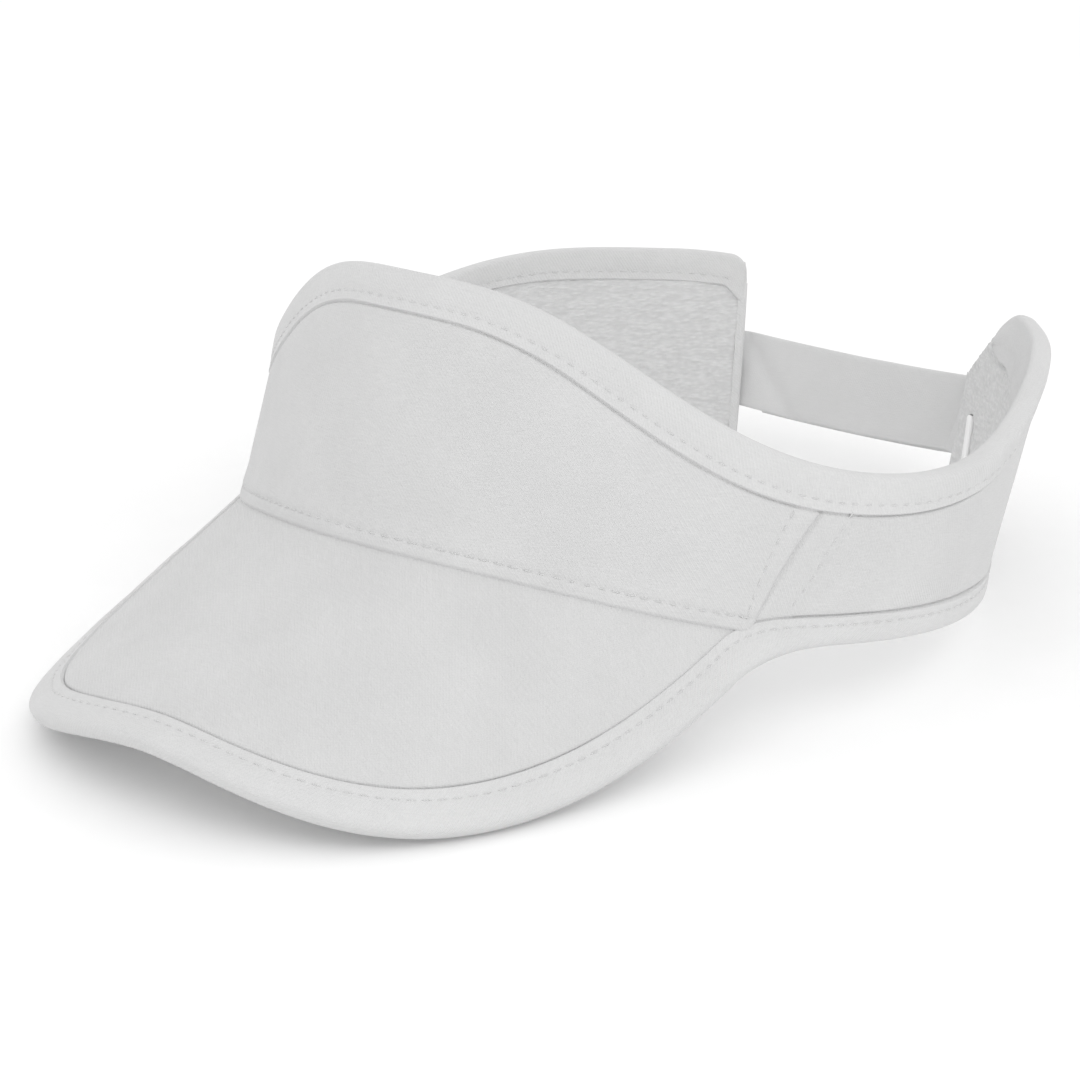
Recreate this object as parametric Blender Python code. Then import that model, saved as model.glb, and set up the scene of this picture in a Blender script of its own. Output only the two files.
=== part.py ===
"""Sun visor: a stiffened bill, a leaned front panel, terry-lined side panels and a back strap
that threads a plastic loop and fastens on itself.

Lengths are in millimetres until a mesh is made. +Z is up, the bill points to -Y, and the loop is
on the wearer's left, +X. An angle round the head is 0 at the middle of the front. A depth is
measured in from the outer face of the crown, or down from the top face of the bill.
"""

import math

import bmesh
import bpy
from mathutils import Matrix, Vector

MM = 0.001

# Plan of the crown's outer face: half width, half length, and the waves that shape it.
CROWN_HALF_WIDTH = 88.0
CROWN_HALF_LENGTH = 93.5
PLAN_SIDES = -0.0326
PLAN_EGG = -1.9
PLAN_BLUNT = 5.57
# Inward lean of the wall for each millimetre of height, as waves round the head.
LEAN_WAVES = (-0.0397, 0.2581, -0.0077, 0.0132)
# Height of the top edge, as waves round the head, and how far it drops at each end.
TOP_WAVES = (38.73, -3.75, 14.80, 4.74, 0.17, -1.47, 0.27, -1.21)
TOP_DROP_LEFT = 20.8
TOP_DROP_RIGHT = 3.3
TOP_DROP_SPAN = 12.0
# Bill surface: height at the crown, forward slope, sideways arch and the arch's easings.
BILL_HEIGHT = -1.2
BILL_SLOPE = 0.640
BILL_ARCH = 0.00834
BILL_ARCH_EASE = 1.99e-7
BILL_TIP_EASE = 0.56e-5
# Bill outline in plan.
BILL_HALF_WIDTH = 75.9
BILL_FRONT = 152.9
BILL_BACK = 41.6
BILL_SQUARENESS = 2.496
BILL_END = 84.8
# Angles round the head: where a side seam meets the bill, the end of the rim's twist, and the
# panels' ends, which lean with height. The left panel's end is cut back towards its foot.
SEAM_FOOT = 55.4
TWIST_END = 67.4
PANEL_END = 156.0
END_SLANT = -0.0727
LEFT_END = 155.2
LEFT_SLANT = 0.262
END_MIDDLE = 22.0
# A side seam's angle at the bill, and its lean and curve back for each millimetre above.
SEAM_START = 54.85
SEAM_LEAN = 0.205
SEAM_CURVE = 0.004
# Share of the rim's twist that lies on the bill's side of the seam.
TWIST_MEET = 0.3
# Bottom edge of the side panels.
SIDE_STEP = 3.0
SIDE_RISE = 0.7
SIDE_BOTTOM = -0.3
# Layers of the wall and of the bill, from the outer face in.
SHELL = 0.8
GAP = 0.3
MID = 0.8
LINING = 1.6
MID_IN = SHELL + GAP
MID_OUT = MID_IN + MID
LINING_IN = MID_OUT + GAP
WALL = LINING_IN + LINING
BOARD = 1.6
UNDER_IN = SHELL + GAP + BOARD + GAP
ROOT = 1.5
# Stitching gap over the bill's seam, and how the front panel's foot lifts as it nears a side seam.
FRONT_FOOT = 0.45
FOOT_LIFT = 2.5
FOOT_LIFT_SPAN = 8.0
# Folded bindings: cloth thickness, gap to the wall, and how far each leg reaches.
BIND = 0.6
BIND_GAP = 0.3
EDGE = BIND + BIND_GAP
TOP_LEG = 8.6
LOWER_LEG = 6.5
# Stations across the front panel and along a side panel, as shares of their angle.
FRONT_STATIONS = (0.0, 0.1, 0.2, 0.3, 0.4, 0.5, 0.6, 0.7, 0.8, 0.87, 0.938, 0.997)
SIDE_STATIONS = (0.0015, 0.01, 0.02, 0.028, 0.037, 0.048, 0.06, 0.075, 0.09, 0.105, 0.12, 0.18)
SIDE_STATIONS += (0.25, 0.33, 0.41, 0.49, 0.57, 0.65, 0.73, 0.81, 0.86, 0.9, 0.935, 0.97, 1.0)
SHELL_END = 22
STRAP_ROOM = 21
MID_START = 4
ROWS = 5
# Stations along the bill's rim, those in its twist that the bill's layers reach, and the room that
# each one leaves before the side seam.
RIM_COUNT = 15
TWIST_STATIONS = (0.1, 0.2)
ROOT_STEP = 1.2
# Shares of the way from the wall to the binding where the bill's layers follow its arch.
BILL_SHARES = (0.4, 0.8)
# Seam tapes.
TAPE_HALF = 2.9
TAPE_START = 9.0
BILL_TAPE_HEIGHT = 10.0
BILL_TAPE_BELOW = 3.0
BILL_TAPE_SHORT = 7.0
BILL_TAPE_COUNT = 10
BILL_TAPE = 0.7
# Back strap.
STRAP = 0.8
STRAP_HALF = 9.8
STRAP_FAR_HEIGHT = 17.2
STRAP_BULGE = 1.8
STRAP_SAG = 1.0
STRAP_ANCHORS = (146.5, 149.0, 151.5, 154.0, 155.6)
STRAP_LEAVE = 2.5
STRAP_REACH = 6.9
STRAP_STRAIGHT = 5.0
STRAP_COUNT = 12
FOLD_COUNT = 8
TAIL_OFFSET = 4.6
TAIL_START = 6
HOOK_SPAN = (7, 13)
PILE_SPAN = (8, 17)
PATCH = 1.25
PATCH_HALF = 8.3
# Plastic loop at the left panel's end, in its own frame: t along the strap, u up, n out.
LOOP_ANGLE = 153.8
LOOP_HEIGHT = 18.0
BAR = 0.8
BAR_T = 2.5
BAR_N = 1.0
LOOP_HALF = 11.3
LOOP_CORNER = 1.0
CORNER_COUNT = 3
BAR_COUNT = 8
STRAP_N = -1.3
TAB = 0.6
TAB_HALF = 9.6
TAB_ANCHORS = (145.0, 147.5)
TAB_ROOM = 0.1
TAB_NECK = 0.7
TAB_NECK_N = -1.35
TAB_START = 1.08
TAB_TURN = 1.5
TAB_COUNT = 10
# Slot in the left lining and the plastic stay that shows in it: the angle and height of the slot's
# head, the height of its foot, half widths, and the depths of the cutter and of the stay.
SLOT_ANGLE = 149.4
SLOT_HEAD = 19.2
SLOT_FOOT = 3.0
SLOT_HALF = 1.25
STAY_HALF = 0.85
SLOT_DEPTHS = (1.6, 8.0)
STAY_DEPTHS = (2.2, 4.0)
STAY_ROOM = 0.4
ARCH_COUNT = 8
# Steps in which an angle and a height that depend on each other settle.
SETTLE_STEPS = 24
# Pitch at which the bill's corners and the panels' back corners all touch a table.
PITCH = -11.5
# Move that puts the origin under the middle of the whole, on the table.
ORIGIN_SHIFT = (0.0, 25.908, 24.359)


def clear_scene():
    for obj in list(bpy.data.objects):
        bpy.data.objects.remove(obj, do_unlink=True)


def make_material(name, colour, roughness, metallic=0.0):
    material = bpy.data.materials.new(name)
    material.use_nodes = True
    shader = material.node_tree.nodes["Principled BSDF"]
    shader.inputs["Base Color"].default_value = (*colour, 1.0)
    shader.inputs["Roughness"].default_value = roughness
    shader.inputs["Metallic"].default_value = metallic
    return material


def waves(sizes, angle):
    return sum(size * math.cos(k * math.radians(angle)) for k, size in enumerate(sizes))


def plan_point(angle):
    a = math.radians(angle)
    x = CROWN_HALF_WIDTH * (math.sin(a) + PLAN_SIDES * math.sin(3 * a))
    y = -waves((0.0, CROWN_HALF_LENGTH, PLAN_EGG, PLAN_BLUNT), angle)
    return x, y


def wall_point(angle, z):
    x, y = plan_point(angle)
    scale = 1 - waves(LEAN_WAVES, angle) * z / math.hypot(x, y)
    return Vector((x * scale, y * scale, z))


def wall_up(angle, z):
    return (wall_point(angle, z + 1) - wall_point(angle, z - 1)).normalized()


def wall_normal(angle, z):
    along = wall_point(angle + 0.5, z) - wall_point(angle - 0.5, z)
    return along.cross(wall_up(angle, z)).normalized()


def top_edge(angle):
    end = max(0.0, (abs(angle) - PANEL_END + TOP_DROP_SPAN) / TOP_DROP_SPAN)
    drop = TOP_DROP_LEFT if angle > 0 else TOP_DROP_RIGHT
    return waves(TOP_WAVES, angle) - drop * min(end, 1.0) ** 2


def bill_height(x, y):
    forward = -y - CROWN_HALF_LENGTH
    arch = BILL_ARCH * x**2 - BILL_ARCH_EASE * x**4 - BILL_TIP_EASE * forward * x**2
    return BILL_HEIGHT - BILL_SLOPE * forward - arch


def bill_point(x, y):
    return Vector((x, y, bill_height(x, y)))


def bill_normal(x, y):
    dx = bill_point(x + 1, y) - bill_point(x - 1, y)
    dy = bill_point(x, y + 1) - bill_point(x, y - 1)
    return dx.cross(dy).normalized()


def outline_point(turn, inset):
    s = math.sin(math.radians(turn))
    c = math.cos(math.radians(turn))
    power = 2 / BILL_SQUARENESS
    x = (BILL_HALF_WIDTH - inset) * math.copysign(abs(s) ** power, s)
    return x, -((BILL_FRONT - inset - BILL_BACK) * c**power + BILL_BACK)


def seam_height(angle, depth=0.0):
    """Height at which the wall, at this depth, meets the bill's top face."""
    z = 0.0
    for _ in range(6):
        p = wall_point(angle, z) - wall_normal(angle, z) * depth
        z = bill_height(p.x, p.y)
    return z


def seam_angle(z):
    """Angle of the side seam at a height: it leans back as it climbs."""
    above = z - seam_height(SEAM_FOOT)
    return SEAM_START + SEAM_LEAN * above + SEAM_CURVE * above**2


def end_angle(sign, z):
    if sign > 0:
        return LEFT_END + LEFT_SLANT * (z - END_MIDDLE)
    return PANEL_END + END_SLANT * (z - END_MIDDLE)


def side_angle(sign, station, z):
    """Angle of a station of a side panel at a height; sign 1 is the left panel."""
    start = seam_angle(z)
    return start + (end_angle(sign, z) - start) * station


def side_bottom(angle):
    """Height of the lower binding's upper line on a side panel."""
    start = seam_height(SEAM_FOOT) + SIDE_STEP
    t = (angle - SEAM_FOOT) / (PANEL_END - SEAM_FOOT)
    return start + (SIDE_BOTTOM - start) * t + SIDE_RISE * t * (1 - t)


def settled(angle_of, height_of):
    """The angle and height that agree where each depends on the other."""
    z = 0.0
    for _ in range(SETTLE_STEPS):
        z = (z + height_of(angle_of(z))) / 2
    return angle_of(z), z


def bill_frame(turn):
    """Outer edge, binding line and face normal of the bill's rim."""
    edge = bill_point(*outline_point(turn, 0.0))
    line = bill_point(*outline_point(turn, LOWER_LEG))
    return edge, line, bill_normal(edge.x, edge.y)


def side_frame(angle):
    z = side_bottom(angle)
    return wall_point(angle, z - LOWER_LEG), wall_point(angle, z), wall_normal(angle, z)


def hermite(p0, d0, p1, d1, t):
    a = 2 * t**3 - 3 * t**2 + 1
    b = t**3 - 2 * t**2 + t
    c = -2 * t**3 + 3 * t**2
    d = t**3 - t**2
    return p0 * a + d0 * b + p1 * c + d1 * d


def twist_frame(t):
    """The rim between the bill, t 0, and the side panel, t 1, where it turns on edge."""
    start = bill_frame(BILL_END)
    before = bill_frame(BILL_END - 0.5)
    end = side_frame(TWIST_END)
    after = side_frame(TWIST_END + 0.5)
    points = []
    for k in (0, 1):
        span = (end[k] - start[k]).length
        leave = (start[k] - before[k]).normalized() * span
        arrive = (after[k] - end[k]).normalized() * span
        points.append(hermite(start[k], leave, end[k], arrive, t))
    normal = start[2].lerp(end[2], t * t * (3 - 2 * t)).normalized()
    across = (points[1] - points[0]).normalized()
    normal = (normal - across * normal.dot(across)).normalized()
    return points[0], points[1], normal


def side_rim(angle):
    if angle >= TWIST_END:
        return side_frame(angle)
    share = max(0.0, (angle - SEAM_FOOT) / (TWIST_END - SEAM_FOOT))
    return twist_frame(TWIST_MEET + (1 - TWIST_MEET) * share)


def even_turns(count):
    """Turns of the bill's outline from its middle to BILL_END, evenly spaced along the rim."""
    samples = [BILL_END * i / 400 for i in range(401)]
    points = [bill_frame(turn)[0] for turn in samples]
    lengths = [0.0]
    for i in range(400):
        lengths.append(lengths[-1] + (points[i + 1] - points[i]).length)
    turns = []
    for k in range(count):
        goal = lengths[-1] * k / (count - 1)
        nearest = min(range(401), key=lambda i: abs(lengths[i] - goal))
        turns.append(samples[nearest])
    return turns


def bill_frames():
    """Rim frames of the bill's left half, from its middle towards the side panel."""
    bill = [bill_frame(turn) for turn in even_turns(RIM_COUNT)]
    return bill + [twist_frame(t) for t in TWIST_STATIONS]


def mirrored(frame):
    return tuple(Vector((-v.x, v.y, v.z)) for v in frame)


def flipped(columns):
    return [[mirrored(pair) for pair in column] for column in columns]


def placed(point):
    """A point of the crown's frame, in millimetres, as it stands on the table, in metres."""
    return (Matrix.Rotation(math.radians(PITCH), 4, "X") @ point + Vector(ORIGIN_SHIFT)) * MM


def add_solid(name, rings, material):
    """A closed body from rings of points, one ring for each station, with its two ends capped."""
    mesh = bmesh.new()
    rows = [[mesh.verts.new(placed(p)) for p in ring] for ring in rings]
    count = len(rows[0])
    for a, b in zip(rows, rows[1:]):
        for i in range(count):
            j = (i + 1) % count
            mesh.faces.new((a[i], a[j], b[j], b[i]))
    for row in (rows[0], rows[-1]):
        add_cap(mesh, row)
    return add_body(name, mesh, material)


def add_body(name, mesh, material):
    bmesh.ops.triangulate(mesh, faces=mesh.faces, quad_method="SHORT_EDGE")
    bmesh.ops.recalc_face_normals(mesh, faces=mesh.faces)
    data = bpy.data.meshes.new(name)
    mesh.to_mesh(data)
    mesh.free()
    data.materials.append(material)
    data.shade_smooth()
    obj = bpy.data.objects.new(name, data)
    bpy.context.scene.collection.objects.link(obj)
    return obj


def add_cap(mesh, row):
    """Closes a ring whose first and last points pair up, as strips between its two sides."""
    i = 0
    j = len(row) - 1
    while j - i > 1:
        mesh.faces.new((row[i], row[i + 1], row[j - 1], row[j]))
        i += 1
        j -= 1


def add_sheet(name, columns, near, far, material):
    """A sheet through columns of (point, normal) pairs, from depth near to depth far."""
    rings = []
    for column in columns:
        front = [p - n * near for p, n in column]
        back = [p - n * far for p, n in column]
        rings.append(front + back[::-1])
    return add_solid(name, rings, material)


def front_columns(depth, last):
    """Columns of the front panel, out to its station number last on each side."""
    stations = FRONT_STATIONS[: last + 1]
    columns = []
    for station in [-s for s in stations[:0:-1]] + list(stations):
        column = []
        for j in range(ROWS):
            share = j / (ROWS - 1)
            high = settled(lambda z: station * seam_angle(z), top_edge)[1] - EDGE
            foot = settled(lambda z: station * seam_angle(z), lambda a: seam_height(a, depth))
            by_seam = max(0.0, (abs(foot[0]) - SEAM_FOOT + FOOT_LIFT_SPAN) / FOOT_LIFT_SPAN)
            low = foot[1] + FRONT_FOOT + FOOT_LIFT * min(by_seam, 1.0)
            z = low + (high - low) * share
            angle = station * seam_angle(z)
            column.append((wall_point(angle, z), wall_normal(angle, z)))
        columns.append(column)
    return columns


def side_columns(sign, first, last):
    """Columns of a side panel between two station numbers; sign 1 is the left panel."""
    columns = []
    for station in SIDE_STATIONS[first : last + 1]:
        angle, low = settled(lambda z: side_angle(sign, station, z), side_bottom)
        edge, line, normal = side_rim(angle)
        across = (line - edge).normalized()
        column = [(edge + across * EDGE, normal), (line, normal)]
        top = settled(lambda z: side_angle(sign, station, z), lambda a: top_edge(sign * a))
        high = top[1] - EDGE
        for j in range(1, ROWS):
            z = low + (high - low) * j / (ROWS - 1)
            angle = side_angle(sign, station, z)
            column.append((wall_point(angle, z), wall_normal(angle, z)))
        columns.append(column)
    return columns if sign > 0 else flipped(columns)


def bill_columns():
    """Columns of the bill, from under the wall to the rim, for one half and its mirror."""
    half = []
    frames = bill_frames()
    for k, (edge, line, normal) in enumerate(frames):
        angle = math.degrees(math.atan2(edge.x, -edge.y))
        angle = min(angle, SEAM_FOOT - ROOT_STEP * (len(frames) - k))
        z = seam_height(angle, ROOT)
        root = wall_point(angle, z) - wall_normal(angle, z) * ROOT
        twisted = k >= len(frames) - len(TWIST_STATIONS)
        column = [(bill_point(root.x, root.y), bill_normal(root.x, root.y))]
        for share in BILL_SHARES:
            p = column[0][0].lerp(line, share)
            p.z += (bill_height(p.x, p.y) - p.z) * (0.5 if twisted else 1.0)
            n = bill_normal(p.x, p.y).lerp(normal, share if twisted else 0.0).normalized()
            column.append((p, n))
        column.append((line, normal))
        column.append((edge + (line - edge).normalized() * EDGE, normal))
        half.append(column)
    return flipped(half)[:0:-1] + half


def binding_ring(edge, line, normal, leg):
    """Section of a folded binding: two legs and the fold that joins them over the edge."""
    low = -EDGE
    high = WALL + EDGE
    section = (
        (low, leg),
        (low, EDGE * 0.7),
        (low * 0.3, 0.0),
        (WALL - low * 0.3, 0.0),
        (high, EDGE * 0.7),
        (high, leg),
        (high - BIND, leg),
        (high - BIND, BIND),
        (low + BIND, BIND),
        (low + BIND, leg),
    )
    across = (line - edge).normalized()
    return [edge + across * h - normal * d for d, h in section]


def side_rims(sign, last):
    """Rim frames of a side panel out to its station number last, as if it were the left one."""
    frames = []
    for station in SIDE_STATIONS[: last + 1]:
        angle = settled(lambda z: side_angle(sign, station, z), side_bottom)[0]
        frames.append(side_rim(angle))
    return frames


def add_lower_binding(material):
    right = bill_frames() + side_rims(-1, len(SIDE_STATIONS) - 1)
    left = bill_frames() + side_rims(1, SHELL_END)
    whole = [mirrored(frame) for frame in right[:0:-1]] + left
    rings = [binding_ring(*frame, LOWER_LEG) for frame in whole]
    return add_solid("lower_binding", rings, material)


def top_frame(angle_of):
    angle, z = settled(angle_of, top_edge)
    edge = wall_point(angle, z)
    low = z - TOP_LEG
    angle_low = angle_of(low)
    line = wall_point(angle_low, low)
    return edge, line, wall_normal(angle, z - TOP_LEG / 2)


def add_top_binding(material):
    frames = []
    for station in SIDE_STATIONS[::-1]:
        frames.append(top_frame(lambda z: -side_angle(-1, station, z)))
    for station in [-s for s in FRONT_STATIONS[-2:0:-1]] + list(FRONT_STATIONS[:-1]):
        frames.append(top_frame(lambda z: station * seam_angle(z)))
    for station in SIDE_STATIONS[: SHELL_END + 1]:
        frames.append(top_frame(lambda z: side_angle(1, station, z)))
    rings = [binding_ring(*frame, TOP_LEG) for frame in frames]
    return add_solid("top_binding", rings, material)


def add_seam_tape(name, sign, material):
    """The tape behind a side seam, in the layer between shell and lining."""
    columns = []
    low = seam_height(SEAM_FOOT) + TAPE_START
    for shift in (-TAPE_HALF, 0.0, TAPE_HALF):
        high = settled(lambda z: seam_angle(z) + shift, top_edge)[1] - EDGE
        column = []
        for j in range(ROWS):
            z = low + (high - low) * j / (ROWS - 1)
            angle = seam_angle(z) + shift
            column.append((wall_point(angle, z), wall_normal(angle, z)))
        columns.append(column)
    columns = columns if sign > 0 else flipped(columns)
    return add_sheet(name, columns, MID_IN, MID_OUT, material)


def add_bill_tape(material):
    """The tape that covers the bill's seam inside the crown."""
    columns = []
    for i in range(-BILL_TAPE_COUNT, BILL_TAPE_COUNT + 1):
        angle = (SEAM_FOOT - BILL_TAPE_SHORT) * i / BILL_TAPE_COUNT
        low = seam_height(angle, WALL) - BILL_TAPE_BELOW
        column = []
        for share in (0.0, 0.5, 1.0):
            z = low + BILL_TAPE_HEIGHT * share
            column.append((wall_point(angle, z), wall_normal(angle, z)))
        columns.append(column)
    return add_sheet("bill_seam_tape", columns, WALL + GAP, WALL + GAP + BILL_TAPE, material)


def loop_frame():
    """Origin and the t, u, n directions of the loop at the left panel's end."""
    origin = wall_point(LOOP_ANGLE, LOOP_HEIGHT)
    n = wall_normal(LOOP_ANGLE, LOOP_HEIGHT)
    u = wall_up(LOOP_ANGLE, LOOP_HEIGHT)
    return origin, n.cross(u).normalized() * -1.0, u, n


def in_loop(t, u, n):
    origin, along, up, out = loop_frame()
    return origin + along * t + up * u + out * n


def strap_path():
    """The strap's middle line and up directions, from inside the right panel to the loop."""
    path = []
    for angle in STRAP_ANCHORS:
        p = wall_point(-angle, STRAP_FAR_HEIGHT)
        n = wall_normal(-angle, STRAP_FAR_HEIGHT)
        path.append((p - n * (MID_IN + MID / 2), wall_up(-angle, STRAP_FAR_HEIGHT)))
    leave = path[-1][0] + (path[-1][0] - path[-2][0]).normalized() * STRAP_LEAVE
    reach = in_loop(STRAP_REACH, 0.0, STRAP_N)
    up_far = path[-1][1]
    up_near = loop_frame()[2]
    for k in range(STRAP_COUNT + 1):
        s = k / STRAP_COUNT
        bow = 4 * s * (1 - s)
        p = leave.lerp(reach, s) + Vector((0.0, STRAP_BULGE, -STRAP_SAG)) * bow
        path.append((p, up_far.lerp(up_near, s).normalized()))
    for t in (STRAP_STRAIGHT, BAR_T):
        path.append((in_loop(t, 0.0, STRAP_N), up_near))
    return path


def fold_path():
    """The strap's middle line round the loop's free bar, from inside to outside."""
    up = loop_frame()[2]
    radius = BAR_N - STRAP_N
    path = []
    for k in range(1, FOLD_COUNT + 1):
        a = math.pi * k / FOLD_COUNT
        path.append((in_loop(BAR_T - radius * math.sin(a), 0.0, BAR_N - radius * math.cos(a)), up))
    return path


def side_of(path, k):
    """The outward direction across the strap at one station of its path."""
    before = path[max(k - 1, 0)][0]
    after = path[min(k + 1, len(path) - 1)][0]
    return (after - before).cross(path[k][1]).normalized() * -1.0


def add_band(name, path, centre, thickness, half, material):
    """A flat band along a path, its middle set out by centre."""
    rings = []
    for k, (p, up) in enumerate(path):
        out = side_of(path, k)
        a = p + out * (centre + thickness / 2)
        b = p + out * (centre - thickness / 2)
        rings.append([a - up * half, a, a + up * half, b + up * half, b, b - up * half])
    return add_solid(name, rings, material)


def add_strap(fabric, hook, pile):
    path = strap_path()
    add_band("strap", path + fold_path(), 0.0, STRAP, STRAP_HALF, fabric)
    outer = TAIL_OFFSET - STRAP / 2 - GAP - PATCH / 2
    inner = STRAP / 2 + GAP + PATCH / 2
    tail = path[TAIL_START:-1] + [(in_loop(BAR_T + GAP, 0.0, STRAP_N), path[-1][1])]
    add_band("strap_tail", tail, TAIL_OFFSET, STRAP, STRAP_HALF, fabric)
    add_band("hook_patch", path[slice(*HOOK_SPAN)], outer, PATCH, PATCH_HALF, hook)
    add_band("loop_patch", path[slice(*PILE_SPAN)], inner, PATCH, PATCH_HALF, pile)


def loop_outline():
    """Points of the loop's middle line and the outward directions there, as (t, u, dt, du)."""
    outline = []
    for side_t, side_u in ((1, 1), (-1, 1), (-1, -1), (1, -1)):
        centre_t = side_t * (BAR_T - LOOP_CORNER)
        centre_u = side_u * (LOOP_HALF - LOOP_CORNER)
        start = math.atan2(side_u, side_t) - math.pi / 4
        for k in range(CORNER_COUNT + 1):
            a = start + math.pi / 2 * k / CORNER_COUNT
            dt = math.cos(a)
            du = math.sin(a)
            outline.append((centre_t + LOOP_CORNER * dt, centre_u + LOOP_CORNER * du, dt, du))
    return outline


def add_plastic_loop(material):
    """The rounded rectangular loop, its bars round in section."""
    mesh = bmesh.new()
    rows = []
    for t, u, dt, du in loop_outline():
        row = []
        for k in range(BAR_COUNT):
            a = 2 * math.pi * k / BAR_COUNT
            out = BAR * math.cos(a)
            point = in_loop(t + dt * out, u + du * out, BAR_N + BAR * math.sin(a))
            row.append(mesh.verts.new(placed(point)))
        rows.append(row)
    for i, a in enumerate(rows):
        b = rows[(i + 1) % len(rows)]
        for k in range(BAR_COUNT):
            j = (k + 1) % BAR_COUNT
            mesh.faces.new((a[k], a[j], b[j], b[k]))
    return add_body("plastic_loop", mesh, material)


def add_loop_tab(material):
    """The tab from under the left shell, hooked round the loop's fixed bar from outside."""
    up = loop_frame()[2]
    path = []
    for angle in TAB_ANCHORS:
        p = wall_point(angle, LOOP_HEIGHT)
        n = wall_normal(angle, LOOP_HEIGHT)
        path.append((p - n * (MID_IN + MID / 2), wall_up(angle, LOOP_HEIGHT)))
    radius = BAR + GAP + TAB_ROOM + TAB / 2
    path.append((in_loop(-BAR_T - radius - TAB_NECK, 0.0, TAB_NECK_N), up))
    for k in range(TAB_COUNT + 1):
        a = math.pi * (TAB_START - TAB_TURN * k / TAB_COUNT)
        path.append((in_loop(-BAR_T + radius * math.cos(a), 0.0, BAR_N + radius * math.sin(a)), up))
    rings = []
    for k, (p, direction) in enumerate(path):
        out = side_of(path, k) * TAB / 2
        rise = direction * TAB_HALF
        rings.append([p + out - rise, p + out + rise, p - out + rise, p - out - rise])
    return add_solid("loop_tab", rings, material)


def slot_outline(half, foot, head):
    """An arch-topped strip up the left panel's end, as angles and heights."""
    degree = math.radians(1) * wall_point(SLOT_ANGLE, SLOT_HEAD).xy.length
    corners = [(-half, foot), (half, foot)]
    for k in range(ARCH_COUNT + 1):
        a = math.pi * k / ARCH_COUNT
        corners.append((half * math.cos(a), head - half + half * math.sin(a)))
    middle = [SLOT_ANGLE + LEFT_SLANT * (z - SLOT_HEAD) for _, z in corners]
    return [(m + side / degree, z) for m, (side, z) in zip(middle, corners)]


def add_strip(name, outline, depths, material):
    """A closed strip of the wall, from one depth to another, within an outline."""
    mesh = bmesh.new()
    rows = []
    for depth in depths:
        points = [wall_point(a, z) - wall_normal(a, z) * depth for a, z in outline]
        rows.append([mesh.verts.new(placed(p)) for p in points])
    mesh.faces.new(rows[0])
    mesh.faces.new(rows[1][::-1])
    for i in range(len(outline)):
        j = (i + 1) % len(outline)
        mesh.faces.new((rows[0][i], rows[0][j], rows[1][j], rows[1][i]))
    return add_body(name, mesh, material)


def add_slot_cutter(material):
    outline = slot_outline(SLOT_HALF, SLOT_FOOT, SLOT_HEAD)
    cutter = add_strip("slot_cutter", outline, SLOT_DEPTHS, material)
    cutter.hide_render = True
    cutter.display_type = "WIRE"
    return cutter


def add_stay(material):
    """The plastic stay that shows in the slot of the left panel's lining."""
    outline = slot_outline(STAY_HALF, SLOT_FOOT + STAY_ROOM, SLOT_HEAD - STAY_ROOM)
    return add_strip("panel_stay", outline, STAY_DEPTHS, material)


def cut(obj, cutter):
    modifier = obj.modifiers.new("slot", "BOOLEAN")
    modifier.operation = "DIFFERENCE"
    modifier.solver = "EXACT"
    modifier.object = cutter


def add_side(name, sign, shell, stiff, terry):
    """The layers of one side panel. The left shell stops short, and its lining runs on."""
    end = len(SIDE_STATIONS) - 1
    shell_end = SHELL_END if sign > 0 else end
    add_sheet("side_panel_" + name, side_columns(sign, 0, shell_end), 0.0, SHELL, shell)
    mid = side_columns(sign, MID_START, STRAP_ROOM - 1)
    add_sheet("side_interlining_" + name, mid, MID_IN, MID_OUT, stiff)
    return add_sheet("side_lining_" + name, side_columns(sign, 0, end), LINING_IN, WALL, terry)


def main():
    clear_scene()
    shell = make_material("shell_fabric", (0.70, 0.70, 0.70), 0.85)
    bind = make_material("binding_fabric", (0.72, 0.72, 0.72), 0.8)
    terry = make_material("terry", (0.66, 0.66, 0.66), 0.95)
    stiff = make_material("stiffener", (0.80, 0.80, 0.80), 0.6)
    board = make_material("bill_board", (0.82, 0.82, 0.82), 0.45)
    tape = make_material("seam_tape", (0.74, 0.74, 0.74), 0.8)
    strap = make_material("strap_fabric", (0.64, 0.64, 0.64), 0.7)
    hook = make_material("hook_tape", (0.78, 0.78, 0.78), 0.5)
    pile = make_material("loop_tape", (0.72, 0.72, 0.72), 0.95)
    plastic = make_material("loop_plastic", (0.88, 0.88, 0.88), 0.35)

    bill = bill_columns()
    add_sheet("bill_top_cover", bill, 0.0, SHELL, shell)
    add_sheet("bill_board", bill, SHELL + GAP, SHELL + GAP + BOARD, board)
    add_sheet("bill_under_cover", bill, UNDER_IN, UNDER_IN + SHELL, shell)
    add_lower_binding(bind)
    add_top_binding(bind)
    last = len(FRONT_STATIONS) - 1
    add_sheet("front_panel", front_columns(SHELL, last), 0.0, SHELL, shell)
    add_sheet("front_stiffener", front_columns(MID_OUT, last - 1), MID_IN, MID_OUT, stiff)
    add_sheet("front_lining", front_columns(WALL, last), LINING_IN, WALL, terry)
    left_lining = add_side("left", 1, shell, stiff, terry)
    add_side("right", -1, shell, stiff, terry)
    cut(left_lining, add_slot_cutter(terry))
    add_seam_tape("seam_tape_left", 1, tape)
    add_seam_tape("seam_tape_right", -1, tape)
    add_bill_tape(tape)
    add_strap(strap, hook, pile)
    add_plastic_loop(plastic)
    add_stay(plastic)
    add_loop_tab(strap)


main()
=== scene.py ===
import math

import bpy
import numpy as np
from mathutils import Matrix, Vector


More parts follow.
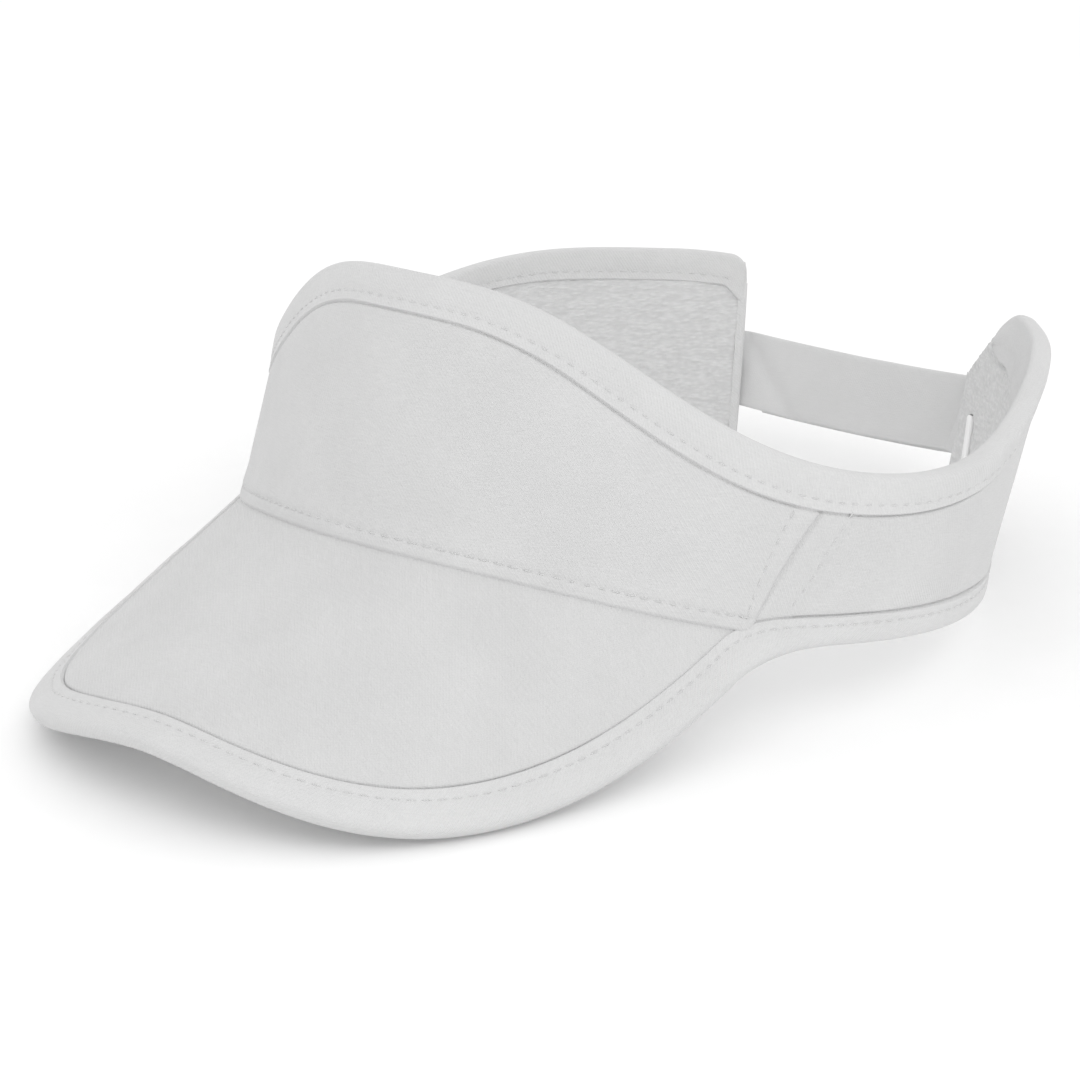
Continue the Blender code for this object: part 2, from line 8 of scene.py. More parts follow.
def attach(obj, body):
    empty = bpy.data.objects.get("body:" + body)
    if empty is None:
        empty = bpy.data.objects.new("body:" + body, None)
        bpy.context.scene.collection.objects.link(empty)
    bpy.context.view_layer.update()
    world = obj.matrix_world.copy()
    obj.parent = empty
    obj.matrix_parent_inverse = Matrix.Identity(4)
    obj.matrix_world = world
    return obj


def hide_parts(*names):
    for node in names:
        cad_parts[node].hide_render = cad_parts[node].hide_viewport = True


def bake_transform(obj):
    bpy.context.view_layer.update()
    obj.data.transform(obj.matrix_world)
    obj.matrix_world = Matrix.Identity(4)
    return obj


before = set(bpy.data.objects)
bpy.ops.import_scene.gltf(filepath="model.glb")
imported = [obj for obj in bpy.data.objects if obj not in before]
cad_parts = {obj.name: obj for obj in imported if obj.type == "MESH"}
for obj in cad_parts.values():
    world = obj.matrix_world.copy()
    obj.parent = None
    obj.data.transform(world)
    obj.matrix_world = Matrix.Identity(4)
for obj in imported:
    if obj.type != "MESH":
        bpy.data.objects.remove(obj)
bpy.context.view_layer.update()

# The visor's looks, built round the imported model. Shapes are worked out in millimetres in the
# crown's own frame, as the CAD part's are, and moved to the table frame when a mesh is made.
# An angle round the head is 0 at the middle of the front and grows towards the wearer's left, +X.

MM = 0.001
PITCH = -11.5
ORIGIN_SHIFT = (0.0, 25.908, 24.359)

# The crown and the bill, with the CAD part's own sizes.
CROWN_HALF_WIDTH = 88.0
CROWN_HALF_LENGTH = 93.5
PLAN_SIDES = -0.0326
PLAN_WAVES = (0.0, 93.5, -1.9, 5.57)
LEAN_WAVES = (-0.0397, 0.2581, -0.0077, 0.0132)
TOP_WAVES = (38.73, -3.75, 14.80, 4.74, 0.17, -1.47, 0.27, -1.21)
TOP_DROP_LEFT = 20.8
TOP_DROP_RIGHT = 3.3
TOP_DROP_SPAN = 12.0
BILL_HEIGHT = -1.2
BILL_SLOPE = 0.640
BILL_ARCH = 0.00834
BILL_ARCH_EASE = 1.99e-7
BILL_TIP_EASE = 0.56e-5
BILL_HALF_WIDTH = 75.9
BILL_FRONT = 152.9
BILL_BACK = 41.6
BILL_SQUARENESS = 2.496
BILL_END = 84.8
SEAM_FOOT = 55.4
SEAM_START = 54.85
SEAM_LEAN = 0.205
SEAM_CURVE = 0.004
TWIST_MEET = 0.3
TWIST_END = 67.4
PANEL_END = 156.0
END_SLANT = -0.0727
LEFT_END = 155.2
LEFT_SLANT = 0.262
END_MIDDLE = 22.0
SIDE_STEP = 3.0
SIDE_RISE = 0.7
SIDE_BOTTOM = -0.3
SHELL = 0.8
MID_IN = 1.1
MID = 0.8
WALL = 3.8
UNDER_IN = 3.0
TOP_LEG = 8.6
LOWER_LEG = 6.5
SHELL_END = 0.935
TAPE_END = 151.3
GROOVE = 0.55
GROOVE_WIDTH = 0.26
STRAP = 0.8
STRAP_HALF = 9.8
STRAP_FAR_HEIGHT = 17.2
STRAP_BULGE = 1.8
STRAP_SAG = 1.0
STRAP_ANCHORS = (146.5, 149.0, 151.5, 154.0, 155.6)
STRAP_COUNT = 12
TAIL_OFFSET = 4.6
PATCH = 1.25
PATCH_HALF = 8.3
LOOP_ANGLE = 153.8
LOOP_HEIGHT = 18.0
BAR = 0.8
BAR_T = 2.5
BAR_N = 1.0
LOOP_HALF = 11.3
LOOP_CORNER = 1.0
STRAP_N = -1.3
TAB = 0.6
TAB_HALF = 9.6
TAB_ANCHORS = (145.0, 147.5)
TAB_NECK_N = -1.35
SLOT_ANGLE = 149.4
SLOT_HEAD = 19.2
SLOT_FOOT = 3.0
SLOT_HALF = 1.9
SLOT_SLANT = 0.42
STAY_HALF = 1.4
STAY_DEPTHS = (2.6, 4.6)
STAY_ROOM = 0.4

# Millimetres to a degree round the head, outside and inside the crown, degrees from the front's
# middle to a side seam and from there to a panel's end, and a side panel's length.
DEGREE = 1.56
INNER_DEGREE = 1.5
FRONT_SPAN = 58.0
SIDE_SPAN = 94.0
SIDE_LENGTH = 145.0

# The folded tape of the bindings, how far below the top edge a panel ends inside one, and the
# share of a side panel's rows that is inside the lower one.
RIM_STEP = 0.62
LEG_POINTS = 15
FOLD = 2.2
FOLD_POWER = 0.72
TAPE_CLOTH = 0.3
HIDDEN = 3.0
RIM_SHARE = 0.1
# The inner leg of the top binding is gathered into uneven puckers towards its left end: distance
# from that end against the leg's width, as a share of its usual width. It lies over the pile
# there by GATHER_OVER, in full from GATHER_FULL.
GATHER_PLACES = (0.0, 4.0, 9.0, 16.0, 24.0, 32.0, 38.0, 44.0, 52.0, 66.0)
GATHER_WIDTHS = (0.45, 0.95, 1.35, 1.55, 1.6, 1.95, 2.15, 1.9, 1.9, 1.0)
GATHER_OVER = 0.5
GATHER_FULL = 40.0
# Rows of a cloth where it meets a binding, by distance from its hidden edge.
NEAR_TOP = (12.5, 11.0, 9.6, 8.4, 7.4, 6.7, 6.3, 6.1, 5.95, 5.85, 5.75, 5.65, 5.55, 5.4, 5.2,
            4.8, 4.2, 3.4, 2.4, 1.2, 0.0)
NEAR_LINE = (7.0, 5.6, 4.5, 3.7, 3.1, 2.7, 2.45, 2.3, 2.2, 2.1, 2.0, 1.9, 1.75, 1.5, 1.0, 0.0)
TUCK = 2.0
SLOT_DEPTHS = (1.6, 8.0)
# Section of the hem: across the panel's end, and depth.
HEM = ((-2.0, 3.6), (-1.95, 4.05), (-1.2, 4.22), (-0.2, 4.2), (0.3, 3.95), (0.45, 3.4), (0.45, 2.7),
       (0.3, 2.2), (0.1, 2.25), (0.12, 2.8), (0.12, 3.3), (-0.1, 3.6), (-0.8, 3.7), (-1.7, 3.6))
# Diagonal folds of the strap: place along it, slant, size and width.
STRAP_FOLDS = ((26.0, 0.9, 0.55, 3.2), (44.0, -0.7, 0.4, 4.5), (66.0, 0.5, -0.3, 5.0))

# Sewing: a stitch's pitch, length, radius, sections, corners and lift, then the distance of each
# row from an edge, the bill or a side seam.
STITCH_PITCH = 3.1
STITCH_LENGTH = 2.35
THREAD = 0.16
STITCH_RINGS = 5
STITCH_SIDES = 6
STITCH_SINK = 0.25
ROW_IN = 2.0
TOP_ROW_IN = 2.4
FOOT_ROW = 3.3
SIDE_ROW = 7.0

CAMERA_ANGLES = (39.094, 20.600, -0.733)
CAMERA_PLACE = (0.400621, -0.498515, 0.258862)
CAMERA_LENS = 100.206
FLOOR_HALF = 40.0
FLOOR_DROP = 0.0002


def waves(sizes, angle):
    a = np.radians(angle)
    return sum(size * np.cos(k * a) for k, size in enumerate(sizes))


def vec(*parts):
    return np.stack(np.broadcast_arrays(*parts), -1).astype(float)


def unit(v):
    return v / np.maximum(np.linalg.norm(v, axis=-1, keepdims=True), 1e-12)


def plan_point(angle):
    a = np.radians(angle)
    return CROWN_HALF_WIDTH * (np.sin(a) + PLAN_SIDES * np.sin(3 * a)), -waves(PLAN_WAVES, angle)


def wall_point(angle, z):
    x, y = plan_point(angle)
    scale = 1 - waves(LEAN_WAVES, angle) * z / np.hypot(x, y)
    return vec(x * scale, y * scale, z)


def wall_up(angle, z):
    return unit(wall_point(angle, z + 1) - wall_point(angle, z - 1))


def wall_normal(angle, z):
    along = wall_point(angle + 0.5, z) - wall_point(angle - 0.5, z)
    return unit(np.cross(along, wall_up(angle, z)))


def top_edge(angle):
    end = np.clip((np.abs(angle) - PANEL_END + TOP_DROP_SPAN) / TOP_DROP_SPAN, 0, 1)
    return waves(TOP_WAVES, angle) - np.where(angle > 0, TOP_DROP_LEFT, TOP_DROP_RIGHT) * end**2


def bill_height(x, y):
    forward = -y - CROWN_HALF_LENGTH
    arch = BILL_ARCH * x**2 - BILL_ARCH_EASE * x**4 - BILL_TIP_EASE * forward * x**2
    return BILL_HEIGHT - BILL_SLOPE * forward - arch


def bill_point(x, y):
    return vec(x, y, bill_height(x, y))


def bill_normal(x, y):
    dx = bill_point(x + 1, y) - bill_point(x - 1, y)
    dy = bill_point(x, y + 1) - bill_point(x, y - 1)
    return unit(np.cross(dx, dy))


def outline_point(turn, inset):
    s, c = np.sin(np.radians(turn)), np.cos(np.radians(turn))
    power = 2 / BILL_SQUARENESS
    x = (BILL_HALF_WIDTH - inset) * np.sign(s) * np.abs(s) ** power
    return x, -((BILL_FRONT - inset - BILL_BACK) * np.abs(c) ** power + BILL_BACK)


def seam_height(angle, depth=0.0):
    z = np.zeros(np.shape(angle))
    for _ in range(6):
        p = wall_point(angle, z) - wall_normal(angle, z) * depth
        z = bill_height(p[..., 0], p[..., 1])
    return z


SEAM_FOOT_HEIGHT = float(seam_height(SEAM_FOOT))


def seam_angle(z):
    above = z - SEAM_FOOT_HEIGHT
    return SEAM_START + SEAM_LEAN * above + SEAM_CURVE * above**2


def end_angle(sign, z):
    if sign > 0:
        return LEFT_END + LEFT_SLANT * (z - END_MIDDLE)
    return PANEL_END + END_SLANT * (z - END_MIDDLE)


def side_angle(sign, station, z):
    start = seam_angle(z)
    return start + (end_angle(sign, z) - start) * station


def side_bottom(angle):
    start = SEAM_FOOT_HEIGHT + SIDE_STEP
    t = (angle - SEAM_FOOT) / (PANEL_END - SEAM_FOOT)
    return start + (SIDE_BOTTOM - start) * t + SIDE_RISE * t * (1 - t)


def settled(angle_of, height_of):
    """Angle and height where a line that leans as it rises meets an edge."""
    z = 0.0
    for _ in range(24):
        z = (z + height_of(angle_of(z))) / 2
    return angle_of(z), z


def side_foot(sign, station):
    return settled(lambda z: side_angle(sign, station, z), side_bottom)


def side_top(sign, station):
    return settled(lambda z: side_angle(sign, station, z), lambda a: top_edge(sign * a))


def bill_frame(turn):
    edge = bill_point(*outline_point(turn, 0.0))
    line = bill_point(*outline_point(turn, LOWER_LEG))
    return edge, line, bill_normal(edge[..., 0], edge[..., 1])


def side_frame(angle):
    z = side_bottom(angle)
    return wall_point(angle, z - LOWER_LEG), wall_point(angle, z), wall_normal(angle, z)


def hermite(p0, d0, p1, d1, t):
    t = t[..., None]
    lead = (2 * t**3 - 3 * t**2 + 1) * p0 + (t**3 - 2 * t**2 + t) * d0
    return lead + (3 * t**2 - 2 * t**3) * p1 + (t**3 - t**2) * d1


def twist_frame(t):
    """The rim between the bill, t 0, and the side panel, t 1, where it turns on edge."""
    start, before = bill_frame(BILL_END), bill_frame(BILL_END - 0.5)
    end, after = side_frame(TWIST_END), side_frame(TWIST_END + 0.5)
    points = []
    for k in (0, 1):
        span = np.linalg.norm(end[k] - start[k])
        leave = unit(start[k] - before[k]) * span
        arrive = unit(after[k] - end[k]) * span
        points.append(hermite(start[k], leave, end[k], arrive, t))
    share = (t * t * (3 - 2 * t))[..., None]
    normal = unit(start[2] * (1 - share) + end[2] * share)
    across = unit(points[1] - points[0])
    normal = unit(normal - across * (normal * across).sum(-1, keepdims=True))
    return points[0], points[1], normal


def joined(frames):
    return tuple(np.concatenate([f[k] for f in frames]) for k in range(3))


def mirrored(v, sign=-1):
    return v * np.array([sign, 1.0, 1.0])


def opposite(frames):
    """The same frames on the other side of the head, the other way round, without the first."""
    return tuple(mirrored(v)[:0:-1] for v in frames)


def columns(rows):
    """A list of tuples of vectors, as one array for each place in the tuple."""
    return tuple(np.array(column) for column in zip(*rows))


def lengths(points):
    """Distance along a row of points, from its start."""
    steps = np.linalg.norm(np.diff(points, axis=0), axis=-1)
    return np.concatenate([[0.0], np.cumsum(steps)])


def at_runs(goal, run, rows):
    """Vectors at the distances goal, from rows of them at the distances run."""
    return np.stack([np.interp(goal, run, rows[:, k]) for k in range(3)], -1)


def resampled(frames, step):
    """Frames again, evenly spaced along the middle between edge and line, and their distances."""
    run = lengths((frames[0] + frames[1]) / 2)
    goal = np.linspace(0, run[-1], int(round(run[-1] / step)) + 1)
    edge, line, normal = (at_runs(goal, run, rows) for rows in frames)
    return (edge, line, unit(normal)), goal


def lattice(u, v, cell_u, cell_v, seed):
    """Smooth value noise from -1 to 1, with cells this wide."""
    values = np.random.default_rng(seed).uniform(-1, 1, (256, 256))
    x, y = np.asarray(u) / cell_u, np.asarray(v) / cell_v
    i, j = np.floor(x).astype(int), np.floor(y).astype(int)
    fx, fy = x - i, y - j
    fx, fy = fx * fx * (3 - 2 * fx), fy * fy * (3 - 2 * fy)

    def at(a, b):
        return values[a % 256, b % 256]

    low = at(i, j) * (1 - fx) + at(i + 1, j) * fx
    high = at(i, j + 1) * (1 - fx) + at(i + 1, j + 1) * fx
    return low * (1 - fy) + high * fy


def spaced(*spans):
    """Evenly spaced numbers over each of these spans, one after another."""
    return np.concatenate([np.linspace(*span) for span in spans])


def ramp(x, a, b):
    t = np.clip((x - a) / (b - a), 0, 1)
    return t * t * (3 - 2 * t)


def bump(x, middle, width):
    return np.exp(-(((x - middle) / width) ** 2))


def placed(points):
    a = math.radians(PITCH)
    turn = np.array([[1, 0, 0], [0, math.cos(a), -math.sin(a)], [0, math.sin(a), math.cos(a)]])
    return (points @ turn.T + np.array(ORIGIN_SHIFT)) * MM


def linked(name, data):
    obj = bpy.data.objects.new(name, data)
    bpy.context.scene.collection.objects.link(obj)
    return obj


def make_object(name, points, faces, uv, material, sharp=50.0):
    """A mesh object from points in the crown's frame, faces with equally many corners, and a uv
    in millimetres."""
    faces = np.asarray(faces, np.int32)
    corners = faces.shape[1]
    data = bpy.data.meshes.new(name)
    data.vertices.add(len(points))
    data.vertices.foreach_set("co", placed(points).astype(np.float32).ravel())
    data.loops.add(faces.size)
    data.loops.foreach_set("vertex_index", faces.ravel())
    data.polygons.add(len(faces))
    data.polygons.foreach_set("loop_start", np.arange(0, faces.size, corners, dtype=np.int32))
    data.update(calc_edges=True)
    layer = data.uv_layers.new(name="weave")
    layer.data.foreach_set("uv", uv[faces.ravel()].astype(np.float32).ravel())
    data.validate()
    data.materials.append(material)
    data.shade_smooth()
    data.set_sharp_from_angle(angle=math.radians(sharp))
    return linked(name, data)


def grid_faces(rows, cols, wrap=False, start=0):
    i = np.arange(rows - 1)[:, None]
    j = np.arange(cols if wrap else cols - 1)[None, :]
    k = (j + 1) % cols
    quads = np.stack([i * cols + j, i * cols + k, (i + 1) * cols + k, (i + 1) * cols + j], -1)
    return quads.reshape(-1, 4) + start


def cloth(name, outer, normal, thickness, material, uv=None):
    """A closed sheet from a grid of outer points, rows by columns, and the normals there."""
    rows, cols = outer.shape[:2]
    inner = outer - normal * np.asarray(thickness)[..., None]
    if uv is None:
        uv = grid_uv(outer)
    flat = rows * cols
    points = np.concatenate([outer.reshape(-1, 3), inner.reshape(-1, 3)])
    face = grid_faces(rows, cols)
    back = face[:, ::-1] + flat
    index = np.arange(flat).reshape(rows, cols)
    ring = np.concatenate([index[0, :-1], index[:-1, -1], index[-1, :0:-1], index[:0:-1, 0]])
    after = np.roll(ring, -1)
    sides = np.stack([after, ring, ring + flat, after + flat], -1)
    faces = np.concatenate([face, back, sides])
    # The outer face looks along the normals; a face in the middle says whether it does.
    a, b, c = points[face[len(face) // 2][:3]]
    if np.dot(np.cross(b - a, c - b), normal[rows // 2, cols // 2]) < 0:
        faces = faces[:, ::-1]
    return make_object(name, points, faces, np.tile(uv.reshape(-1, 2), (2, 1)), material)


def grid_uv(grid):
    """Millimetres along each row and up each column of a grid, from its middle row and column."""
    rows, cols = grid.shape[:2]
    along = lengths(grid[rows // 2])
    up = lengths(grid[:, cols // 2])
    return np.stack(np.broadcast_arrays(along[None, :] - along[cols // 2], up[:, None]), -1)


def tube(name, rings, material, uv_around, uv_along):
    """A closed body swept through rings, stations by points, with each end capped by strips."""
    count, around = rings.shape[:2]
    points = rings.reshape(-1, 3)
    faces = grid_faces(count, around, wrap=True)
    caps = []
    for row, flip in ((0, True), (count - 1, False)):
        base = row * around
        for k in range(around // 2 - 1):
            quad = [base + k, base + k + 1, base + around - 2 - k, base + around - 1 - k]
            caps.append(quad[::-1] if flip else quad)
    faces = np.concatenate([faces, np.array(caps)])
    uv = np.stack(np.broadcast_arrays(uv_along[:, None], uv_around[None, :]), -1)
    obj = make_object(name, points, faces, uv.reshape(-1, 2), material)
    settle_normals(obj)
    return obj


def settle_normals(obj):
    """Turns a closed mesh's faces outwards if its volume says that they point in."""
    data = obj.data
    co = np.empty(len(data.vertices) * 3)
    data.vertices.foreach_get("co", co)
    co = co.reshape(-1, 3) - co.reshape(-1, 3).mean(0)
    data.calc_loop_triangles()
    tri = np.empty(len(data.loop_triangles) * 3, np.int32)
    data.loop_triangles.foreach_get("vertices", tri)
    a, b, c = (co[tri.reshape(-1, 3)[:, k]] for k in range(3))
    if np.einsum("ij,ij->i", a, np.cross(b, c)).sum() < 0:
        data.flip_normals()


# ---- materials


class Finish:
    """A grey material, with short ways to add the nodes that the finishes share."""

    def __init__(self, name, level, rough, **sockets):
        self.material = bpy.data.materials.new(name)
        self.material.use_nodes = True
        self.nodes, self.links = self.material.node_tree.nodes, self.material.node_tree.links
        self.shader = self.nodes["Principled BSDF"]
        self.level, self.rough = level, rough
        sockets = {"Base_Color": (level, level, level, 1.0), "Roughness": rough, **sockets}
        for key, value in sockets.items():
            self.shader.inputs[key.replace("_", " ")].default_value = value

    def add(self, kind, *inputs, **named):
        """A node of this kind, with each input set to a value or linked to a socket."""
        node = self.nodes.new("ShaderNode" + kind)
        sockets = [(node.inputs[k], value) for k, value in enumerate(inputs)]
        sockets += [(node.inputs[key.replace("_", " ")], value) for key, value in named.items()]
        for socket, value in sockets:
            if isinstance(value, bpy.types.NodeSocket):
                self.links.new(value, socket)
            else:
                socket.default_value = value
        return node

    def math(self, kind, *inputs):
        node = self.add("Math", *inputs)
        node.operation = kind
        return node.outputs[0]

    def plus(self, a, b):
        return self.math("ADD", a, b)

    def times(self, a, b):
        return self.math("MULTIPLY", a, b)

    def wave(self, value, turn):
        return self.math("SINE", self.times(value, turn))

    def mottled(self, shade, *parts):
        """A shade with a share of each of these noises added, each taken about its middle."""
        for part, share in parts:
            shade = self.plus(shade, self.times(self.math("SUBTRACT", part, 0.5), share))
        return shade

    def weave_map(self):
        source = self.nodes.new("ShaderNodeUVMap")
        source.uv_map = "weave"
        return source.outputs["UV"]

    def place(self):
        return self.nodes.new("ShaderNodeTexCoord").outputs["Object"]

    def stretched(self, vector, stretch):
        return self.add("Mapping", Vector=vector, Scale=stretch).outputs[0]

    def noise(self, vector, scale, detail=3.0, stretch=(1, 1, 1)):
        vector = self.stretched(vector, stretch)
        node = self.add("TexNoise", Vector=vector, Scale=scale, Detail=detail, Roughness=0.55)
        return node.outputs["Fac"]

    def colour(self, shade, stops):
        node = self.add("ValToRGB", Fac=shade)
        for element, (place, level) in zip(node.color_ramp.elements, stops):
            element.position = place
            element.color = (level, level, level, 1.0)
        self.links.new(node.outputs["Color"], self.shader.inputs["Base Color"])

    def done(self, shade, height, depth, contrast):
        """Colour from shade, 0 to 1, bump from height over depth millimetres, and uneven
        roughness."""
        dark, light = (min(1.0, self.level * f) for f in (1 - contrast, 1 + contrast))
        self.colour(shade, ((0.25, dark), (0.75, light)))
        node = self.add("Bump", Strength=1.0, Distance=depth * MM, Height=height)
        self.links.new(node.outputs["Normal"], self.shader.inputs["Normal"])
        ends = {"To_Min": self.rough - 0.06, "To_Max": self.rough + 0.06}
        node = self.add("MapRange", Value=shade, **ends)
        self.links.new(node.outputs["Result"], self.shader.inputs["Roughness"])
        return self.material


def grey(value):
    """The linear light of a grey with this display value, out of 255."""
    return ((value / 255 + 0.055) / 1.055) ** 2.4


def woven(name, value, pitch, twill=0.35, depth=0.05, contrast=0.045):
    """A cloth with slubs, faint blotches and pilled fibres. Its weave has this thread pitch in
    millimetres, and twill 1 leans it into diagonal ribs."""
    make = Finish(name, grey(value), 0.88, Sheen_Weight=0.12, Sheen_Roughness=0.6,
                  Specular_IOR_Level=0.25)
    uv = make.weave_map()
    axes = make.add("SeparateXYZ", uv).outputs
    turn = 2 * math.pi / pitch
    plain = make.times(make.wave(axes["X"], turn), make.wave(axes["Y"], turn))
    ribs = make.wave(make.plus(axes["X"], axes["Y"]), turn * 0.5)
    weave = make.plus(make.times(plain, 1 - twill), make.times(ribs, twill))
    slub = make.noise(uv, 1.1, stretch=(0.35, 2.4, 1))
    fibre = make.noise(uv, 4.5, detail=2.0)
    blotch = make.noise(uv, 0.05, detail=2.0)
    # Painted shade in the weave: the colour follows the threads' height, lighter where a thread
    # lies on top and darker in the hollows between; slubs, pilled fibres and blotches also vary the
    # tone.
    shade = make.mottled(make.times(weave, 0.16), (slub, 0.5), (fibre, 0.8), (blotch, 0.45))
    height = make.plus(make.plus(weave, make.times(fibre, 1.6)), make.times(slub, 1.2))
    return make.done(make.plus(shade, 0.5), height, depth, contrast)


def looped(name, value, size, depth, contrast, rough=0.95, sheen=0.3):
    """Terry or pile: rounded loops this far apart, with painted shade in the gaps, in slightly
    uneven courses.
    """
    make = Finish(name, grey(value), rough, Sheen_Weight=sheen, Sheen_Roughness=0.7,
                  Specular_IOR_Level=0.1)
    uv = make.weave_map()
    cells = make.add("TexVoronoi", Vector=make.stretched(uv, (0.7, 1.25, 1)), Scale=1 / size)
    cells.feature = "SMOOTH_F1"
    loop = make.math("SUBTRACT", 1.0, cells.outputs["Distance"])
    course = make.noise(uv, 0.5, stretch=(0.3, 2.2, 1))
    fibre = make.noise(uv, 6.0 / size, detail=2.0)
    # Painted shade: the colour follows the loops' height, darker in the gaps between loops and
    # lighter on their tops; courses and fibres also vary the tone.
    shade = make.mottled(make.times(loop, 0.75), (course, 0.9), (fibre, 0.35))
    return make.done(shade, make.plus(loop, make.times(fibre, 0.35)), depth, contrast)


def moulded(name, value, rough):
    """Moulded plastic: an almost smooth skin with faint flow marks and scuffs."""
    make = Finish(name, grey(value), rough, Specular_IOR_Level=0.5)
    uv = make.weave_map()
    flow = make.noise(uv, 0.6, detail=4.0, stretch=(0.4, 1.5, 1))
    height = make.plus(flow, make.times(make.noise(uv, 5.0, detail=2.0), 0.3))
    return make.done(make.plus(make.times(flow, 0.6), 0.2), height, 0.02, 0.02)


def solid_grain(name, value, rough, scale, depth, contrast):
    """A finish for the hidden sheets, grained by object position, since they hold no uv."""
    make = Finish(name, grey(value), rough, Specular_IOR_Level=0.3)
    place = make.place()
    grain = make.noise(place, scale, detail=4.0)
    coarse = make.noise(place, scale * 0.12, detail=2.0)
    shade = make.math("SUBTRACT", make.plus(grain, make.times(coarse, 0.5)), 0.25)
    return make.done(shade, grain, depth, contrast)


shell_cloth = woven("shell_cloth", 211.5, 0.42, contrast=0.07)
binding_cloth = woven("binding_cloth", 214, 0.42, twill=0.5, contrast=0.055)
strap_cloth = woven("strap_cloth", 221, 0.38, twill=0.2, contrast=0.035)
terry = looped("terry", 215, 0.85, 0.28, 0.075)
tape_cloth = woven("tape_cloth", 215, 0.6, twill=0.9, depth=0.08)
thread = woven("thread", 219, 0.3, twill=1.0, contrast=0.06)
hook_tape = looped("hook_tape", 222, 0.6, 0.25, 0.08, rough=0.6, sheen=0.0)
pile_tape = looped("pile_tape", 214, 0.5, 0.35, 0.07)
plastic = moulded("white_plastic", 246, 0.33)
stiffener = solid_grain("stiffener_felt", 222, 0.8, 2500.0, 0.1, 0.06)
board = solid_grain("board_plastic", 226, 0.45, 900.0, 0.04, 0.03)
hidden_tape = solid_grain("seam_tape_cloth", 216, 0.85, 3000.0, 0.06, 0.05)


# ---- sewing


def ride(obj, body, *nodes, slot=None):
    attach(obj, body)
    if nodes:
        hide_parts(*nodes)


def stitches(name, points, normals, slot):
    """A row of lockstitches along a line of points: one slim capsule for each stitch."""
    run = lengths(points)
    count = max(1, int(run[-1] // STITCH_PITCH))
    start = (run[-1] - count * STITCH_PITCH) / 2
    half = STITCH_LENGTH / 2
    all_points, all_uv, faces = [], [], []
    for k in range(count):
        middle = start + (k + 0.5) * STITCH_PITCH
        at = at_runs([middle - half, middle, middle + half], run, points)
        normal = unit(at_runs(middle, run, normals))
        axis = unit(at[2] - at[0])
        side = unit(np.cross(axis, normal))
        for s in np.linspace(-1, 1, STITCH_RINGS):
            fat = THREAD * math.sqrt(max(0.0, 1 - abs(s) ** 3)) + 0.02
            centre = at[1] + axis * (s * half) + normal * THREAD * (STITCH_SINK - abs(s) ** 3)
            for j in range(STITCH_SIDES):
                a = 2 * math.pi * j / STITCH_SIDES
                all_points.append(centre + (side * math.cos(a) + normal * math.sin(a)) * fat)
                all_uv.append((middle + s * half, j * 0.2))
        first = k * STITCH_SIDES * STITCH_RINGS
        faces.append(grid_faces(STITCH_RINGS, STITCH_SIDES, wrap=True, start=first))
        cap = first + np.array([[0, 1, 2, 3], [0, 3, 4, 5]])
        faces += [cap[:, ::-1], cap + STITCH_SIDES * (STITCH_RINGS - 1)]
    obj = make_object(name, np.array(all_points), np.concatenate(faces), np.array(all_uv), thread,
                      sharp=80.0)
    settle_normals(obj)
    ride(obj, "visor", slot=slot)


# ---- bindings


def rim_frames():
    """Evenly spaced frames of the lower rim, from the right panel's end round to the left's."""
    front = [bill_frame(np.linspace(0, BILL_END, 400)), twist_frame(np.linspace(0, 1, 140)[1:-1])]
    left, right = (
        joined(front + [side_frame(np.linspace(TWIST_END, side_foot(sign, end)[0], count))])
        for sign, end, count in ((1, SHELL_END, 240), (-1, 1.0, 260))
    )
    return resampled(joined([opposite(right), left]), RIM_STEP)


def top_frames():
    """Evenly spaced frames of the top binding, from the right panel's end round to the left's."""
    right = [(lambda z, s=s: -side_angle(-1, s, z)) for s in np.linspace(1, 0, 260)]
    front = [(lambda z, s=s: s * seam_angle(z)) for s in np.linspace(-1, 1, 260)[1:-1]]
    left = [(lambda z, s=s: side_angle(1, s, z)) for s in np.linspace(0, SHELL_END, 500)]
    rows = []
    for angle_of in right + front + left:
        angle, z = settled(angle_of, top_edge)
        if angle > TAPE_END:
            break
        low = z - TOP_LEG
        normal = wall_normal(angle, z - TOP_LEG / 2)
        rows.append((wall_point(angle, z), wall_point(angle_of(low), low), normal))
    return resampled(columns(rows), RIM_STEP)


def leg_profile(h, leg, row):
    """How far a binding's leg stands off the cloth at height h above the fold: fullest in the
    middle, drawn in a little at its row of stitches, and turned under at its edge."""
    full = 0.42 + 0.3 * np.sin(np.pi * np.clip(h / (leg - row), 0, 1)) ** 0.8
    drawn = 0.08 * bump(h, leg - row, 0.6)
    turned = 0.7 * ramp(h, leg - 0.28, leg)
    return full - drawn - turned


def binding_section(leg, row):
    """(depth, height) of the outside of a folded binding, from its outer edge round the fold to
    its inner edge. Depth 0 is the outer face of the panel and WALL the inner face."""
    legs = leg - (leg - FOLD) * np.linspace(0, 1, LEG_POINTS) ** 1.5
    stand = leg_profile(legs, leg, row)
    half = WALL / 2 + stand[-1]
    fold = []
    for k in range(1, 12):
        c, s = math.cos(math.pi * k / 12), math.sin(math.pi * k / 12)
        depth = WALL / 2 - half * math.copysign(abs(c) ** FOLD_POWER, c)
        fold.append((depth, FOLD - FOLD * abs(s) ** FOLD_POWER))
    inner = list(zip(WALL + stand, legs))[::-1]
    return np.array(list(zip(-stand, legs)) + fold + inner)


def inset_section(section, thickness):
    """The inside of the fold: the section moved towards its middle by the cloth's thickness."""
    tangent = np.gradient(section, axis=0)
    normal = unit(np.stack([-tangent[:, 1], tangent[:, 0]], -1))
    middle = np.array([WALL / 2, section[:, 1].max() * 0.6])
    towards = np.sign((normal * (middle - section)).sum(-1, keepdims=True))
    towards[towards == 0] = 1
    return section + normal * towards * thickness


def gathered(from_end):
    return np.interp(from_end, GATHER_PLACES, GATHER_WIDTHS)


def flared(from_end):
    return 1 + 0.45 * (1 - ramp(from_end, 0, 6.5))


